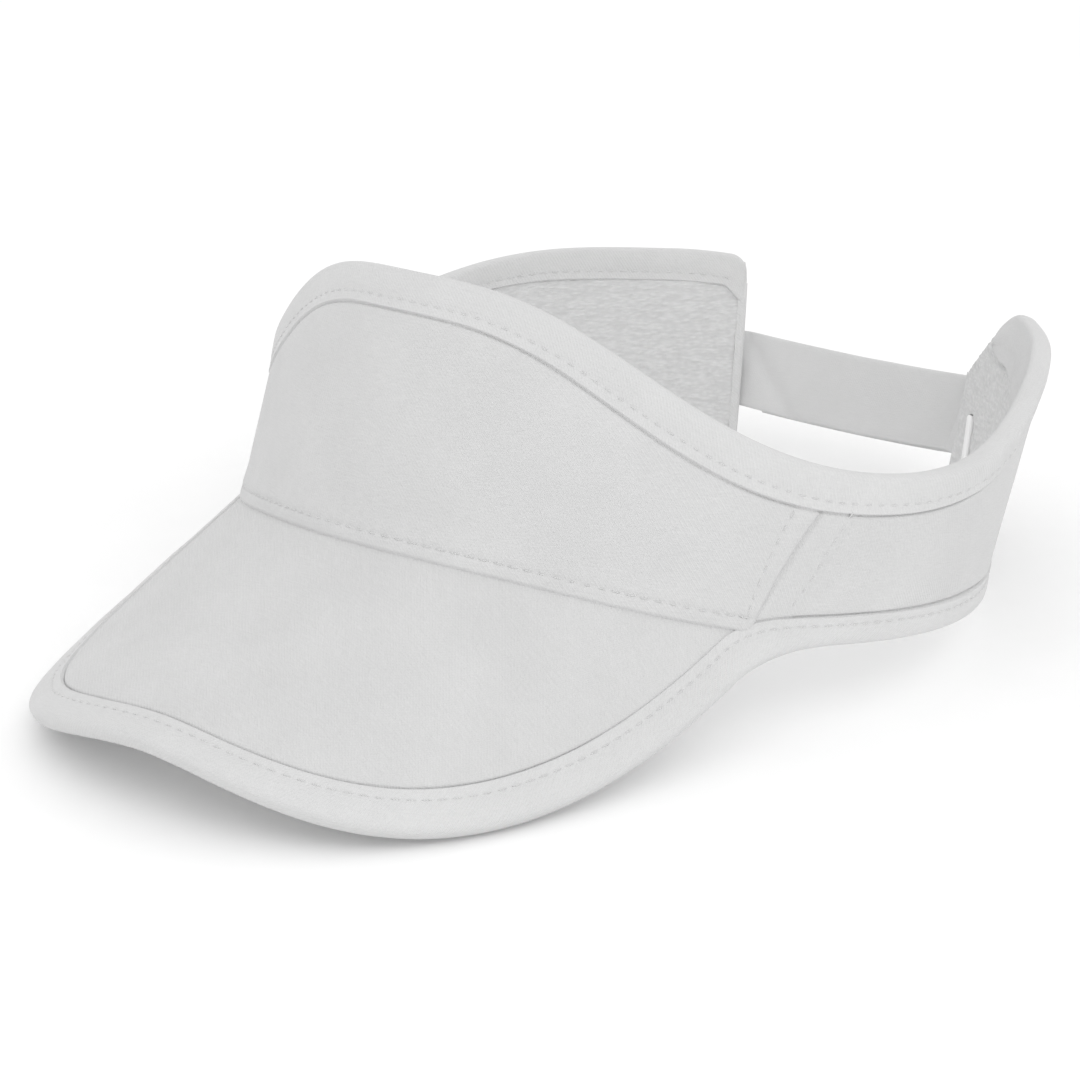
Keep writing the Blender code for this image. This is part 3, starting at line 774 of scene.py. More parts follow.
def inner_spread(run):
    """The top binding's inner leg flares at its right end and is gathered at its left."""
    return flared(run) * gathered(run[-1] - run)


def binding(name, frames, run, leg, row, seed, spread=None, round_ends=(0.0, 0.0)):
    """A folded tape along a rim, and the lines of its two rows of stitches. spread lengthens its
    inner leg along the run, and round_ends lowers the fold at its ends into a rounded corner."""
    edge, line, normal = frames
    across = (line - edge) / leg
    out = binding_section(leg, row)
    thick = np.where(out[:, 1] > leg - 0.45, 0.05, TAPE_CLOTH)[:, None]
    ring = np.concatenate([out, inset_section(out, thick)[::-1]])
    sign = np.where(ring[:, 0] > WALL / 2, 1.0, -1.0)[None, :]
    s = run[:, None]
    depth, height = ring[:, 0] + 0 * s, ring[:, 1] + 0 * s
    # Puckers between stitches, slower ripples of the folded tape, and the wander of its edge.
    pucker = 0.045 * np.cos(2 * np.pi * s / STITCH_PITCH) * bump(height, leg - row, 1.5)
    ripple = 0.12 * lattice(s, height * 1.5 + sign * 40, 7.0, 5.0, seed)
    slow = 0.14 * lattice(s, sign * 20, 21.0, 5.0, seed + 1)
    free = ramp(height, 0.4, 2.0) * ramp(leg + 0.4 - height, 0, 1.2)
    depth = depth + sign * (pucker + (ripple + slow) * free)
    height = height + 0.07 * lattice(s, sign * 30, 11.0, 5.0, seed + 2) * ramp(height, 1, leg)
    if spread is not None:
        over = GATHER_OVER * ramp(run - run[-1], -GATHER_PLACES[-1], -GATHER_FULL)[:, None]
        depth = depth + over * ramp(height, 1.5, 5.0) * (sign > 0)
        wider = 1 + (spread(run) - 1)[:, None] * ramp(height, 0, leg)
        height = height * np.where(sign > 0, wider, 1.0)
    for from_end, drop in zip((run, run[-1] - run), round_ends):
        corner = np.clip(1 - from_end / 4.5, 0, 1)
        lowered = drop * (1 - np.sqrt(1 - corner**2))[:, None]
        height = lowered + height * (1 - lowered / (leg * 1.6))
    # Each end of the tape is folded under, so it thins over its last millimetres.
    end = np.minimum(run, run[-1] - run)
    pinch = 0.82 + 0.18 * np.sqrt(np.clip(end / 1.4, 0, 1))
    depth = WALL / 2 + (depth - WALL / 2) * pinch[:, None]
    points = edge[:, None] + across[:, None] * height[..., None]
    points = points - normal[:, None] * depth[..., None]
    at_row = int(np.argmin(np.abs(out[:LEG_POINTS, 1] - (leg - row))))
    rows = (points[:, at_row], normal), (points[:, len(out) - 1 - at_row], -normal)
    return tube(name, points, binding_cloth, lengths(ring), run), rows


lower, lower_rows = binding("binding_lower", *rim_frames(), LOWER_LEG, ROW_IN, 11)
ride(lower, "visor", "lower_binding", slot="binding")
upper, upper_rows = binding("binding_top", *top_frames(), TOP_LEG, TOP_ROW_IN, 31,
                            inner_spread, (3.6, 0.8))
ride(upper, "visor", "top_binding", slot="binding")
for name, (points, normals), last in (
    ("lower_outside", lower_rows[0], -5),
    ("lower_inside", lower_rows[1], -5),
    ("top_outside", upper_rows[0], -5),
    ("top_inside", upper_rows[1], -115),
):
    stitches("stitches_" + name, points[5:last], normals[5:last], "binding")


# ---- panels


def seam_relief(distance, width):
    """Height of the turned seam allowance beside a side seam, at this distance from the seam,
    out to its row of stitches at width."""
    inside = 1 - ramp(distance, width + 0.2, width + 1.8)
    groove = 0.7 * bump(distance, 0.0, 0.5)
    row = 0.14 * bump(distance, width, 0.5)
    return 0.42 * inside - groove - row


def front_row(share):
    """Distance of the front panel's row of stitches from a side seam, by height."""
    return 2.2 + 4.4 * np.clip(share, 0, 1)


def panel_top(sign, angle, hidden=HIDDEN):
    """How far below the top edge a panel ends: inside the binding, or at the edge past its end."""
    past = ramp(sign * angle, TAPE_END - 3.0, TAPE_END - 1.6)
    return hidden + (0.35 - hidden) * past


def top_line(height_below, span):
    """Groove in the cloth beside the top binding's edge, this far below a panel's top."""
    return GROOVE * bump(height_below, TOP_LEG - HIDDEN + 0.12, GROOVE_WIDTH) * (span > 9)


def panel_uv(points, along):
    """Millimetres along a panel's columns and its height."""
    return np.stack([along[None, :] + 0 * points[..., 2], points[..., 2]], -1)


def front_heights(station, depth=0.0, tuck=0.3):
    """Foot and top of the crown's front, at stations from -1 to 1 between the side seams."""
    high = settled(lambda z: station * seam_angle(z), top_edge)[1] - HIDDEN
    low = settled(lambda z: station * seam_angle(z), lambda a: seam_height(a, depth))[1] - tuck
    return low, high


def front_surface(station, share):
    """Outer face of the front panel. Share 0 is its foot on the bill and 1 is under the binding."""
    low, high = front_heights(station)
    z = low + (high - low) * share
    angle = station * seam_angle(z)
    normal = wall_normal(angle, z)
    above = z - low
    along = angle * DEGREE
    side = (seam_angle(z) - np.abs(angle)) * DEGREE
    foot = 0.85 * ramp(above, -0.1, 1.0) * (1 - 0.55 * ramp(above, 3.0, 9.0)) * ramp(side, 0, 3)
    row = 0.2 * bump(above, FOOT_ROW, 0.6)
    pucker = 0.07 * np.cos(2 * np.pi * along / STITCH_PITCH) * bump(above, FOOT_ROW, 1.6)
    soft = 0.22 * lattice(along, z, 19.0, 30.0, 5) + 0.08 * lattice(along, z, 7.0, 9.0, 6)
    soft = soft * ramp(above, 0, 8) * ramp(side, 0, 10)
    lift = foot - row + pucker + soft + seam_relief(side, front_row(share)) - 0.2
    lift = lift * ramp(high - z, 3.0, 7.0) - top_line(high - z, high - low)
    return wall_point(angle, z) + normal * lift[..., None], normal


def front_panel():
    ends = 1 - np.array([0.0, 0.002, 0.005, 0.009])
    station = np.unique(np.concatenate([np.linspace(-1, 1, 421), ends, -ends]))
    low, high = front_heights(station)
    span = high - low
    rows = spaced((0, 0.04, 7), (0.05, 0.25, 22), (0.26, 0.95, 22))
    share = [(1 - NEAR_TOP[0] / span) * row for row in rows]
    share = np.array(share + [1 - d / span for d in NEAR_TOP])
    points, normal = front_surface(station[None, :], share)
    uv = panel_uv(points, station * SEAM_FOOT * DEGREE)
    obj = cloth("panel_front", points, normal, 0.7, shell_cloth, uv=uv)
    ride(obj, "visor", "front_panel", slot="shell")
    # The row of stitches along the foot, and those beside each side seam.
    line = np.linspace(-0.985, 0.985, 700)
    low, high = front_heights(line)
    stitches("stitches_bill_seam", *front_surface(line, FOOT_ROW / (high - low)), "shell")
    heights = np.linspace(0.09, 0.9, 90)
    inset = front_row(heights) / (DEGREE * FRONT_SPAN)
    for name, sign in (("left", 1), ("right", -1)):
        row = front_surface(sign * (1 - inset), heights)
        stitches("stitches_seam_front_" + name, *row, "shell")


def rim_at_angle(angle):
    """Edge and line of the lower rim on a side panel, through its twist, by angle."""
    t = TWIST_MEET + (1 - TWIST_MEET) * (angle - SEAM_FOOT) / (TWIST_END - SEAM_FOOT)
    a = twist_frame(np.clip(t, 0, 1))
    b = side_frame(np.maximum(angle, TWIST_END))
    flat = (angle >= TWIST_END)[..., None]
    return tuple(np.where(flat, q, p) for p, q in zip(a, b))


def side_surface(sign, station, share, depth=0.0):
    """A side panel's face at a depth. Share 0 is inside the lower binding, RIM_SHARE is at its
    line, and 1 is under the top binding. The panel turns to meet the rim where that twists."""
    angle_low, low = side_foot(sign, station)
    angle_high, high = side_top(sign, station)
    # Over its last part the lining runs further up into the binding than the panel does.
    hidden = HIDDEN if depth == 0 else 1.6 + 1.4 * (angle_high < 120)
    high = high - panel_top(sign, angle_high, hidden)
    edge, line, rim_normal = rim_at_angle(angle_low)
    up = np.clip((share - RIM_SHARE) / (1 - RIM_SHARE), 0, 1)
    z = low + (high - low) * up
    angle = side_angle(sign, station, z)
    flat = ramp(up, 0.0, 0.35)[..., None]
    normal = unit(rim_normal * (1 - flat) + wall_normal(angle, z) * flat)
    base = wall_point(angle, z) + (line - wall_point(angle_low, low)) * (1 - flat)
    below = np.clip((RIM_SHARE - share) / RIM_SHARE, 0, 1)[..., None]
    base = base + (edge - line) * 0.6 * below
    return base - normal * depth, normal, (angle - seam_angle(z)) * DEGREE, z, angle


def side_panel(name, sign, end):
    station = spaced((-0.014, 0.1, 44), (0.103, end, 250))
    place, high = side_top(sign, station)
    span = high - side_foot(sign, station)[1] - panel_top(sign, place)
    squeeze = np.minimum(1.0, span / 16.0)
    first = RIM_SHARE + (1 - RIM_SHARE) * (1 - NEAR_TOP[0] / np.maximum(span, 16.0))
    share = [row + 0 * span for row in spaced((0, 0.085, 6), (0.09, 0.12, 9))]
    share += [0.12 + (first - 0.12) * t for t in np.linspace(0, 1, 18)[1:-1]]
    share += [RIM_SHARE + (1 - RIM_SHARE) * (1 - d * squeeze / span) for d in NEAR_TOP]
    share = np.sort(np.array(share), axis=0)
    points, normal, side, z, angle = side_surface(sign, station[None, :], share)
    soft = 0.24 * lattice(side, z, 15.0, 26.0, 71 + sign)
    soft = (soft + 0.07 * lattice(side, z, 6.0, 8.0, 81 + sign)) * ramp(side, 0, 12)
    lift = soft + seam_relief(np.maximum(side, 0), SIDE_ROW) - 0.9 * ramp(-side, 0, 1.6)
    below = (1 - share) / (1 - RIM_SHARE) * span
    taped = ramp(TAPE_END - sign * angle, 0, 1) ** (sign > 0)
    lift = lift * ramp(below, 3.0, 7.0) - top_line(below, span) * taped
    lift = lift - GROOVE * bump(share, RIM_SHARE + 0.003, 0.008)
    points, normal = mirrored(points + normal * lift[..., None], sign), mirrored(normal, sign)
    # Past the top binding's end the cloth is turned in over the middle layer.
    turned_in = ramp(sign * angle, TAPE_END - 5.0, TAPE_END - 3.0) * (1 - ramp(below, 2.5, 4.0))
    obj = cloth("panel_side_" + name, points, normal, 0.7 + 2.1 * turned_in, shell_cloth,
                uv=panel_uv(points, side.mean(0)))
    ride(obj, "visor", "side_panel_" + name, slot="shell")
    heights = np.linspace(0.115, 0.9, 70)
    at_row = np.full(len(heights), SIDE_ROW / (DEGREE * SIDE_SPAN))
    row, at, side, _, _ = side_surface(sign, at_row, heights)
    row = mirrored(row + at * seam_relief(side, SIDE_ROW)[..., None], sign)
    stitches("stitches_seam_side_" + name, row, mirrored(at, sign), "shell")


front_panel()
side_panel("left", 1, SHELL_END)
side_panel("right", -1, 1.0)


# ---- bill


def bill_surface():
    """The bill's upper face, from under the wall to TUCK inside the binding's line, with its
    normals, the share of the way across, and the depth of the groove beside the binding."""
    # The lower rim's frames over the bill and part of the way through each twist.
    turns = np.linspace(0, BILL_END, 400)
    left = joined([bill_frame(turns), twist_frame(np.linspace(0, TWIST_MEET + 0.06, 60)[1:])])
    (edge, line, _), run = resampled(joined([opposite(left), left]), 1.0)
    angle = (run / run[-1] * 2 - 1) * (SEAM_FOOT - 0.2)
    low = seam_height(angle, 1.2)
    root = wall_point(angle, low) - wall_normal(angle, low) * 1.2
    target = line + unit(edge - line) * TUCK
    span = np.maximum(np.linalg.norm(target - root, axis=-1), 0.01)
    squeeze = np.minimum(1.0, span / 14.0)
    rows = [np.full(len(run), share) for share in np.linspace(0, 0.1, 12)]
    start = 1 - NEAR_LINE[0] * squeeze / span
    rows += [0.1 + (start - 0.1) * t for t in np.linspace(0, 1, 76)[1:-1]]
    rows += [1 - d * squeeze / span for d in NEAR_LINE]
    share = np.array(rows)
    xy = root[None, :, :2] * (1 - share[..., None]) + target[None, :, :2] * share[..., None]
    gap = target[:, 2] - bill_height(target[:, 0], target[:, 1])
    z = bill_height(xy[..., 0], xy[..., 1]) + gap[None] * share**2
    points = np.concatenate([xy, z[..., None]], -1)
    face = unit(np.cross(np.gradient(points, axis=1), -np.gradient(points, axis=0)))
    face = face * np.sign(face[..., 2:])
    groove = GROOVE * bump((1 - share) * span, TUCK + 0.12, GROOVE_WIDTH) * ramp(span, 5, 12)
    return points, face, share, groove


def bill_covers():
    points, normal, share, groove = bill_surface()
    x, y = points[..., 0], points[..., 1]
    soft = 0.16 * lattice(x, y, 23.0, 17.0, 91) + 0.05 * lattice(x, y, 7.0, 6.0, 92)
    soft = soft * np.sin(np.pi * np.clip(share, 0, 1))
    for side, up, lift in (
        ("top", 1, soft - groove),
        ("under", -1, soft * 0.6 + groove - (UNDER_IN + SHELL)),
    ):
        face = points + normal * lift[..., None]
        obj = cloth("bill_cover_" + side, face, normal * up, 0.9, shell_cloth, points[..., :2])
        ride(obj, "visor", f"bill_{side}_cover", slot="shell")


bill_covers()


# ---- linings


def terry_relief(along, up, seed):
    """Loops of terry: fine bumps in uneven courses over slower hollows."""
    fine = lattice(along, up, 0.8, 0.62, seed)
    course = lattice(along, up, 4.5, 1.1, seed + 1)
    slow = lattice(along, up, 16.0, 9.0, seed + 2)
    return 0.16 * fine + 0.13 * course + 0.2 * slow


def front_lining():
    s, share = np.linspace(-0.998, 0.998, 420)[None, :], np.linspace(0, 1, 74)[:, None]
    low, high = front_heights(s, WALL, 0.5)
    z = low + (high - low) * share
    angle = s * seam_angle(z)
    normal = wall_normal(angle, z)
    lift = WALL + terry_relief(angle * INNER_DEGREE, z, 101) * ramp(z - low, 0, 1.0)
    points = wall_point(angle, z) - normal * lift[..., None]
    uv = np.stack([angle * INNER_DEGREE, z], -1)
    lining = cloth("lining_front", points, -normal, 1.1, terry, uv=uv)
    ride(lining, "visor", "front_lining", slot="terry")


def side_lining(name, sign):
    station = spaced((-0.02, 0.0, 10), (0.002, 1.0, 620))
    share = np.linspace(0.0, 1, 74)[:, None]
    points, normal, side, z, _ = side_surface(sign, station[None, :], share, WALL)
    edge_soft = ramp((1 - station)[None, :] * SIDE_LENGTH, 0, 1.6)
    relief = terry_relief(side, z, 111 + sign) * (0.25 + 0.75 * edge_soft)
    points = points - normal * (relief - 0.35 * (1 - edge_soft))[..., None]
    wander = lattice(z * 0 + sign * 9, z, 5.0, 2.6, 131 + sign) * 0.5 * (1 - edge_soft)
    points = points + unit(np.gradient(points, axis=1)) * wander[..., None]
    # The pile is pressed flat under the top binding's inner leg.
    place, high = side_top(sign, station)
    if sign > 0:
        leg = TOP_LEG * gathered((TAPE_END - place) * DEGREE * 1.05) * (place < TAPE_END)
    else:
        leg = TOP_LEG * flared((PANEL_END - place) * DEGREE)
    pressed = 0.6 * (1 - ramp(high - z, leg - 0.6, leg + 0.2)) * (leg > 0)
    pressed = pressed + 0.8 * ramp(-side, 0.2, 1.2)
    points, normal = mirrored(points + normal * pressed[..., None], sign), mirrored(normal, sign)
    return cloth("lining_side_" + name, points, -normal, 1.2, terry, uv=np.stack([side, z], -1))


def loop_frame():
    """The loop's middle, and its directions along the head, up and out."""
    n, u = wall_normal(LOOP_ANGLE, LOOP_HEIGHT), wall_up(LOOP_ANGLE, LOOP_HEIGHT)
    return wall_point(LOOP_ANGLE, LOOP_HEIGHT), unit(np.cross(u, n)), u, n


def in_loop(*place):
    """Points by their millimetres along, up and out of the loop."""
    origin, *axes = loop_frame()
    return origin + sum(axis * np.asarray(v)[..., None] for axis, v in zip(axes, place))


def slot_middle(z):
    return SLOT_ANGLE + SLOT_SLANT * (z - SLOT_HEAD)


def slot_point(side, z, depth):
    """A point of the slot's strip: side is millimetres across it, at a height and a depth."""
    angle = slot_middle(z) + np.asarray(side) / DEGREE
    return wall_point(angle, z) - wall_normal(angle, z) * np.asarray(depth)[..., None]


def cut_slot(obj):
    turn = np.pi * np.arange(17) / 16
    side = np.concatenate([[-SLOT_HALF, SLOT_HALF], SLOT_HALF * np.cos(turn)])
    z = np.concatenate([[SLOT_FOOT] * 2, SLOT_HEAD - SLOT_HALF + SLOT_HALF * np.sin(turn)])
    count = len(side)
    points = np.concatenate([slot_point(side, z, np.full(count, depth)) for depth in SLOT_DEPTHS])
    faces = [tuple(range(count)), tuple(range(2 * count - 1, count - 1, -1))]
    faces += [((i + 1) % count, i, i + count, (i + 1) % count + count) for i in range(count)]
    data = bpy.data.meshes.new("slot_cutter")
    data.from_pydata([tuple(p) for p in placed(points)], [], faces)
    cutter = linked("slot_cutter", data)
    settle_normals(cutter)
    modifier = obj.modifiers.new("slot", "BOOLEAN")
    modifier.operation = "DIFFERENCE"
    modifier.solver = "EXACT"
    modifier.object = cutter
    bpy.context.view_layer.update()
    graph = bpy.context.evaluated_depsgraph_get()
    obj.data = bpy.data.meshes.new_from_object(obj.evaluated_get(graph))
    obj.modifiers.clear()
    bpy.data.objects.remove(cutter, do_unlink=True)


def stay():
    """The moulded stay that shows in the slot: a slim bar with rounded ends."""
    low, high = SLOT_FOOT + STAY_ROOM, SLOT_HEAD - STAY_ROOM
    tip = 0.9 * (1 - np.cos(np.linspace(0.08, np.pi / 2, 8)))
    z = np.concatenate([low + tip, np.linspace(low + 1.1, high - 1.1, 40), high - tip[::-1]])
    from_end = np.minimum(z - low, high - z)
    width = STAY_HALF * np.sqrt(np.clip(1 - (1 - np.clip(from_end / 0.9, 0, 1)) ** 2, 0, 1))
    turn = np.linspace(0, 2 * np.pi, 24, endpoint=False)
    c, s = np.cos(turn), np.sin(turn)
    side = np.sign(c) * np.abs(c) ** 0.75 * width[:, None]
    half = (STAY_DEPTHS[1] - STAY_DEPTHS[0]) / 2 * (0.5 + 0.5 * width / STAY_HALF)[:, None]
    depth = sum(STAY_DEPTHS) / 2 + np.sign(s) * np.abs(s) ** 0.75 * half
    rings = slot_point(side, z[:, None] + 0 * side, depth)
    obj = tube("stay_bar", rings, plastic, turn * STAY_HALF, z)
    ride(obj, "visor", "panel_stay", slot="loop_plastic")


def end_hem():
    """The narrow smooth binding over the end of the right panel's lining."""
    z = np.linspace(side_foot(-1, 1.0)[1] - 1.0, side_top(-1, 1.0)[1] - 7.0, 70)
    angle = end_angle(-1, z)
    base, normal = wall_point(angle, z), wall_normal(angle, z)
    away = unit(np.cross(wall_up(angle, z), normal))
    across, depth = np.array(HEM).T
    wobble = 0.12 * lattice(z, 0 * z, 3.0, 3.0, 201)[:, None]
    s = across + wobble * (across < -1)
    points = base[:, None] + away[:, None] * s[..., None] - normal[:, None] * depth[:, None]
    obj = tube("hem_right", mirrored(points), binding_cloth, np.arange(len(HEM)) * 0.5, z)
    ride(obj, "visor", slot="binding")


front_lining()
left_lining = side_lining("left", 1)
cut_slot(left_lining)
ride(left_lining, "visor", "side_lining_left", slot="terry")
ride(side_lining("right", -1), "visor", "side_lining_right", slot="terry")
stay()
end_hem()


def seam_tape():
    angle = np.linspace(-SEAM_FOOT - 0.6, SEAM_FOOT + 0.6, 340)[None, :]
    share = np.linspace(0, 1, 15)[:, None]
    low = seam_height(angle, WALL) - 3.0
    z = low + 10.0 * share
    normal = wall_normal(angle, z)
    crown = 0.25 * np.sin(np.pi * share) + 0.1 * lattice(angle * INNER_DEGREE, z, 8.0, 6.0, 141)
    points = wall_point(angle, z) - normal * (WALL + 0.55 + crown)[..., None]
    tape = cloth("bill_tape", points, -normal, 0.5, tape_cloth)
    ride(tape, "visor", "bill_seam_tape", slot="tape")
    for name, k in (("low", 2), ("high", 12)):
        stitches("stitches_tape_" + name, points[k], -normal[k], "tape")


seam_tape()


# ---- strap and loop


def anchor(angle, z):
    """A point in the crown's middle layer, and up there."""
    return wall_point(angle, z) - wall_normal(angle, z) * (MID_IN + MID / 2), wall_up(angle, z)


def strap_path():
    """Middle line and up directions of the strap, from inside the right panel to the loop."""
    rows = [anchor(-angle, STRAP_FAR_HEIGHT) for angle in STRAP_ANCHORS]
    (before, _), (last, far) = rows[-2:]
    leave, reach = last + unit(last - before) * 2.5, in_loop(6.9, 0.0, STRAP_N)
    near = loop_frame()[2]
    for s in np.linspace(0, 1, STRAP_COUNT + 1):
        bow = np.array([0.0, STRAP_BULGE, -STRAP_SAG]) * (4 * s * (1 - s))
        rows.append((leave * (1 - s) + reach * s + bow, unit(far * (1 - s) + near * s)))
    return columns(rows + [(in_loop(t, 0.0, STRAP_N), near) for t in (5.0, BAR_T)])


def fold_path():
    radius = BAR_N - STRAP_N
    a = np.pi * np.arange(1, 25) / 24
    points = in_loop(BAR_T - radius * np.sin(a), 0 * a, BAR_N - radius * np.cos(a))
    return points, np.repeat(loop_frame()[2][None], len(a), 0)


def smooth_path(points, ups, step):
    """Evenly spaced points on a smooth curve through these, their up directions and distances."""
    before = np.concatenate([[2 * points[0] - points[1]], points[:-1]])
    after = np.concatenate([points[1:], [2 * points[-1] - points[-2]]])
    tangent = (after - before) / 2
    t = np.linspace(0, 1, 12, endpoint=False)
    out, out_up = [], []
    for i in range(len(points) - 1):
        out.append(hermite(points[i], tangent[i], points[i + 1], tangent[i + 1], t))
        out_up.append(ups[i] * (1 - t)[:, None] + ups[i + 1] * t[:, None])
    out, out_up = np.concatenate(out + [points[-1:]]), np.concatenate(out_up + [ups[-1:]])
    run = lengths(out)
    goal = np.linspace(0, run[-1], int(run[-1] / step) + 2)
    return at_runs(goal, run, out), unit(at_runs(goal, run, out_up)), goal


def band(name, path, centre, thickness, half, material, crease=None, hem=0.0):
    """A flat band along a path: a sheet with rounded edges, set out from the path by centre."""
    points, ups, run = path
    outs = unit(np.cross(ups, np.gradient(points, axis=0)))[:, None]
    across = spaced((-1, -0.9, 6), (-0.87, 0.87, 34), (0.9, 1, 6))
    side = across[None, :] * half
    shape = np.sqrt(np.clip(1 - np.abs(across) ** 14, 0, 1)) * 0.94 + 0.06
    thick = thickness / 2 * shape[None, :] + hem * bump(np.abs(side), half - 1.4, 1.1)
    move = 0 * run[:, None] * side if crease is None else crease(run[:, None], side)
    base = points[:, None] + ups[:, None] * side[..., None]
    front = base + outs * (centre + thick + move)[..., None]
    back = base + outs * (centre - thick + move)[..., None]
    rings = np.concatenate([front, back[:, ::-1]], 1)
    return tube(name, rings, material, np.concatenate([across, across[::-1]]) * half, run)


def strap_crease(run, side):
    """Soft diagonal folds and a slow waver, as in a strap that has been worn."""
    fold = sum(size * bump(run + side * slant, place, width)
               for place, slant, size, width in STRAP_FOLDS)
    waver = 0.35 * lattice(run, side + 50, 22.0, 14.0, 151)
    return (fold + waver) * ramp(run, 12, 24) * (1 - ramp(run, 78, 90))


def tail_crease(run, side):
    return 0.3 * lattice(run, side + 50, 18.0, 14.0, 171) * (1 - ramp(run, 50, 70))


def patch_pile(run, side):
    return 0.1 * lattice(run, side, 0.9, 0.9, 171)


def strap_pieces():
    points, ups = strap_path()
    whole = [np.concatenate(pair) for pair in zip((points, ups), fold_path())]
    obj = band("strap_back", smooth_path(*whole, 0.5), 0.0, STRAP, STRAP_HALF, strap_cloth,
               strap_crease, hem=0.1)
    ride(obj, "visor", "strap", slot="strap")
    # The tail starts part of the way along the strap and ends over the loop's free bar.
    end = in_loop([BAR_T + 0.02], [0.0], [STRAP_N])
    tail = smooth_path(np.concatenate([points[6:-1], end]), ups[6:], 0.5)
    obj = band("strap_end", tail, TAIL_OFFSET, STRAP, STRAP_HALF, strap_cloth, tail_crease, hem=0.1)
    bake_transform(obj)
    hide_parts("strap_tail")
    inner = STRAP / 2 + 0.3 + PATCH / 2
    for name, body, node, cut, centre, material, slot in (
        ("hook_strip", "tail", "hook_patch", slice(7, 13), TAIL_OFFSET - inner, hook_tape, "hook"),
        ("pile_strip", "visor", "loop_patch", slice(8, 17), inner, pile_tape, "pile"),
    ):
        path = smooth_path(points[cut], ups[cut], 0.45)
        obj = band(name, path, centre, PATCH - 0.25, PATCH_HALF, material, patch_pile)
        ride(obj, body, node, slot=slot)


strap_pieces()


def rounded_loop():
    """The moulded loop: a rounded rectangle of round bar."""
    outline = []
    for side_t, side_u in ((1, 1), (-1, 1), (-1, -1), (1, -1)):
        start = math.atan2(side_u, side_t) - math.pi / 4
        for k in range(9):
            c, s = math.cos(start + math.pi / 16 * k), math.sin(start + math.pi / 16 * k)
            t = side_t * (BAR_T - LOOP_CORNER) + LOOP_CORNER * c
            outline.append((t, side_u * (LOOP_HALF - LOOP_CORNER) + LOOP_CORNER * s, c, s))
    ring = np.array(outline)
    fine = []
    for a, b in zip(ring, np.roll(ring, -1, 0)):
        steps = max(1, int(np.hypot(*(b - a)[:2]) / 0.6))
        fine += [a + (b - a) * k / steps for k in range(steps)]
    ring = np.array(fine)
    count, sides = len(ring), 20
    turn = np.linspace(0, 2 * math.pi, sides, endpoint=False)
    out = BAR * np.cos(turn)
    t, u = ring[:, :1] + ring[:, 2:3] * out, ring[:, 1:2] + ring[:, 3:4] * out
    points = in_loop(t, u, BAR_N + BAR * np.sin(turn) + 0 * t)
    faces = grid_faces(count + 1, sides, wrap=True) % (count * sides)
    run = lengths(points[:, 0])
    uv = np.stack(np.broadcast_arrays(run[:, None], turn * BAR), -1).reshape(-1, 2)
    obj = make_object("loop_ring", points.reshape(-1, 3), faces, uv, plastic)
    settle_normals(obj)
    ride(obj, "buckle", "plastic_loop", slot="loop_plastic")


rounded_loop()


def tab():
    """The tab that holds the loop's fixed bar."""
    up = loop_frame()[2]
    radius = BAR + 0.4 + TAB / 2
    rows = [anchor(angle, LOOP_HEIGHT) for angle in TAB_ANCHORS]
    rows.append((in_loop(-BAR_T - radius - 0.7, 0.0, TAB_NECK_N), up))
    for k in range(21):
        a = math.pi * (1.08 - 1.5 * k / 20)
        rows.append((in_loop(-BAR_T + radius * math.cos(a), 0.0, BAR_N + radius * math.sin(a)), up))
    obj = band("tab_fabric", smooth_path(*columns(rows), 0.3), 0.0, TAB, TAB_HALF, strap_cloth)
    ride(obj, "visor", "loop_tab", slot="strap")


tab()


# ---- CAD nodes that stay


for node, finish in (
    ("bill_board", board),
    ("front_stiffener", stiffener),
    ("side_interlining_left", stiffener),
    ("side_interlining_right", stiffener),
    ("seam_tape_left", hidden_tape),
    ("seam_tape_right", hidden_tape),
):
    for material_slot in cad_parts[node].material_slots:
        material_slot.material = finish


# ---- stage, light and camera


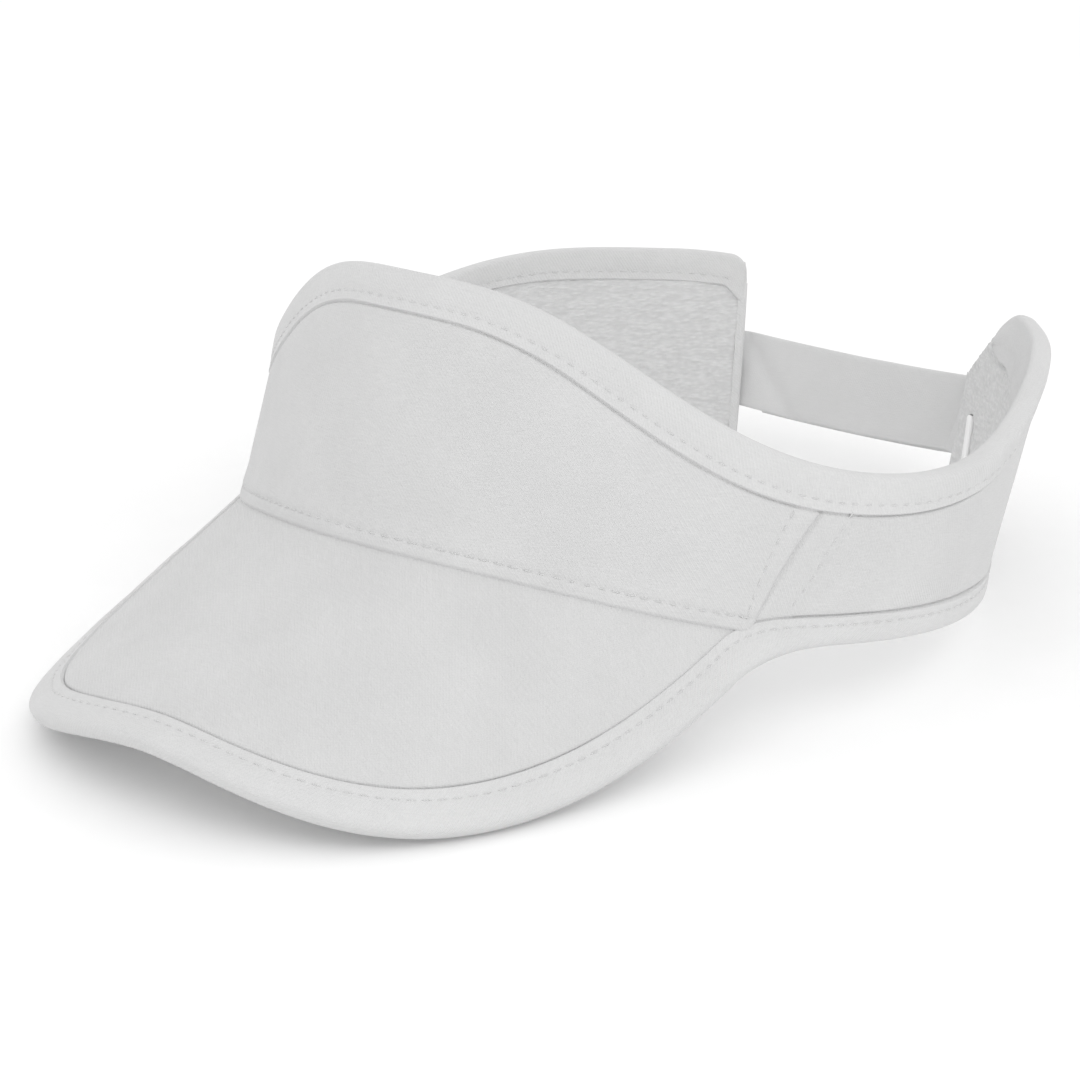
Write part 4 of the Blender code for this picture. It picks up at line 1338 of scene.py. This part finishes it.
def add_stage():
    data = bpy.data.meshes.new("floor")
    h = FLOOR_HALF
    data.from_pydata([(-h, -h, 0), (h, -h, 0), (h, h, 0), (-h, h, 0)], [], [(0, 1, 2, 3)])
    floor = linked("floor", data)
    paper = Finish("floor_paper", 0.99, 0.9, Specular_IOR_Level=0.0)
    paper.colour(paper.noise(paper.place(), 40.0), ((0.3, 0.985), (0.7, 0.999)))
    data.materials.append(paper.material)
    floor.location.z = -FLOOR_DROP


def add_light(name, place, target, size, power):
    data = bpy.data.lights.new(name, "AREA")
    data.shape = "DISK"
    data.size = size
    data.energy = power
    obj = linked(name, data)
    obj.location = place
    obj.rotation_euler = (Vector(target) - Vector(place)).to_track_quat("-Z", "Y").to_euler()


def add_world(strength):
    world = bpy.data.worlds.new("studio")
    world.use_nodes = True
    back = world.node_tree.nodes["Background"]
    back.inputs["Color"].default_value = (1.0, 1.0, 1.0, 1.0)
    back.inputs["Strength"].default_value = strength
    bpy.context.scene.world = world


def add_camera():
    azimuth, elevation, roll = (math.radians(v) for v in CAMERA_ANGLES)
    flat = math.cos(elevation)
    back = Vector((math.sin(azimuth) * flat, -math.cos(azimuth) * flat, math.sin(elevation)))
    right = Vector((math.cos(azimuth), math.sin(azimuth), 0.0))
    up = back.cross(right)
    across = right * math.cos(roll) + up * math.sin(roll)
    rise = up * math.cos(roll) - right * math.sin(roll)
    data = bpy.data.cameras.new("camera")
    data.sensor_width = 36.0
    data.lens = CAMERA_LENS
    data.clip_start = 0.01
    data.clip_end = 20.0
    camera = linked("camera", data)
    matrix = Matrix((across, rise, back)).transposed().to_4x4()
    matrix.translation = Vector(CAMERA_PLACE)
    camera.matrix_world = matrix
    bpy.context.scene.camera = camera


add_stage()
add_world(1.0)
add_light("key", (-0.4, -0.9, 1.2), (0, 0, 0.04), 1.4, 0.35)
add_light("fill", (1.1, -0.5, 0.9), (0, 0.03, 0.04), 1.2, 3.0)
add_camera()
bpy.context.scene.view_settings.view_transform = "Standard"
bpy.context.scene.view_settings.look = "None"
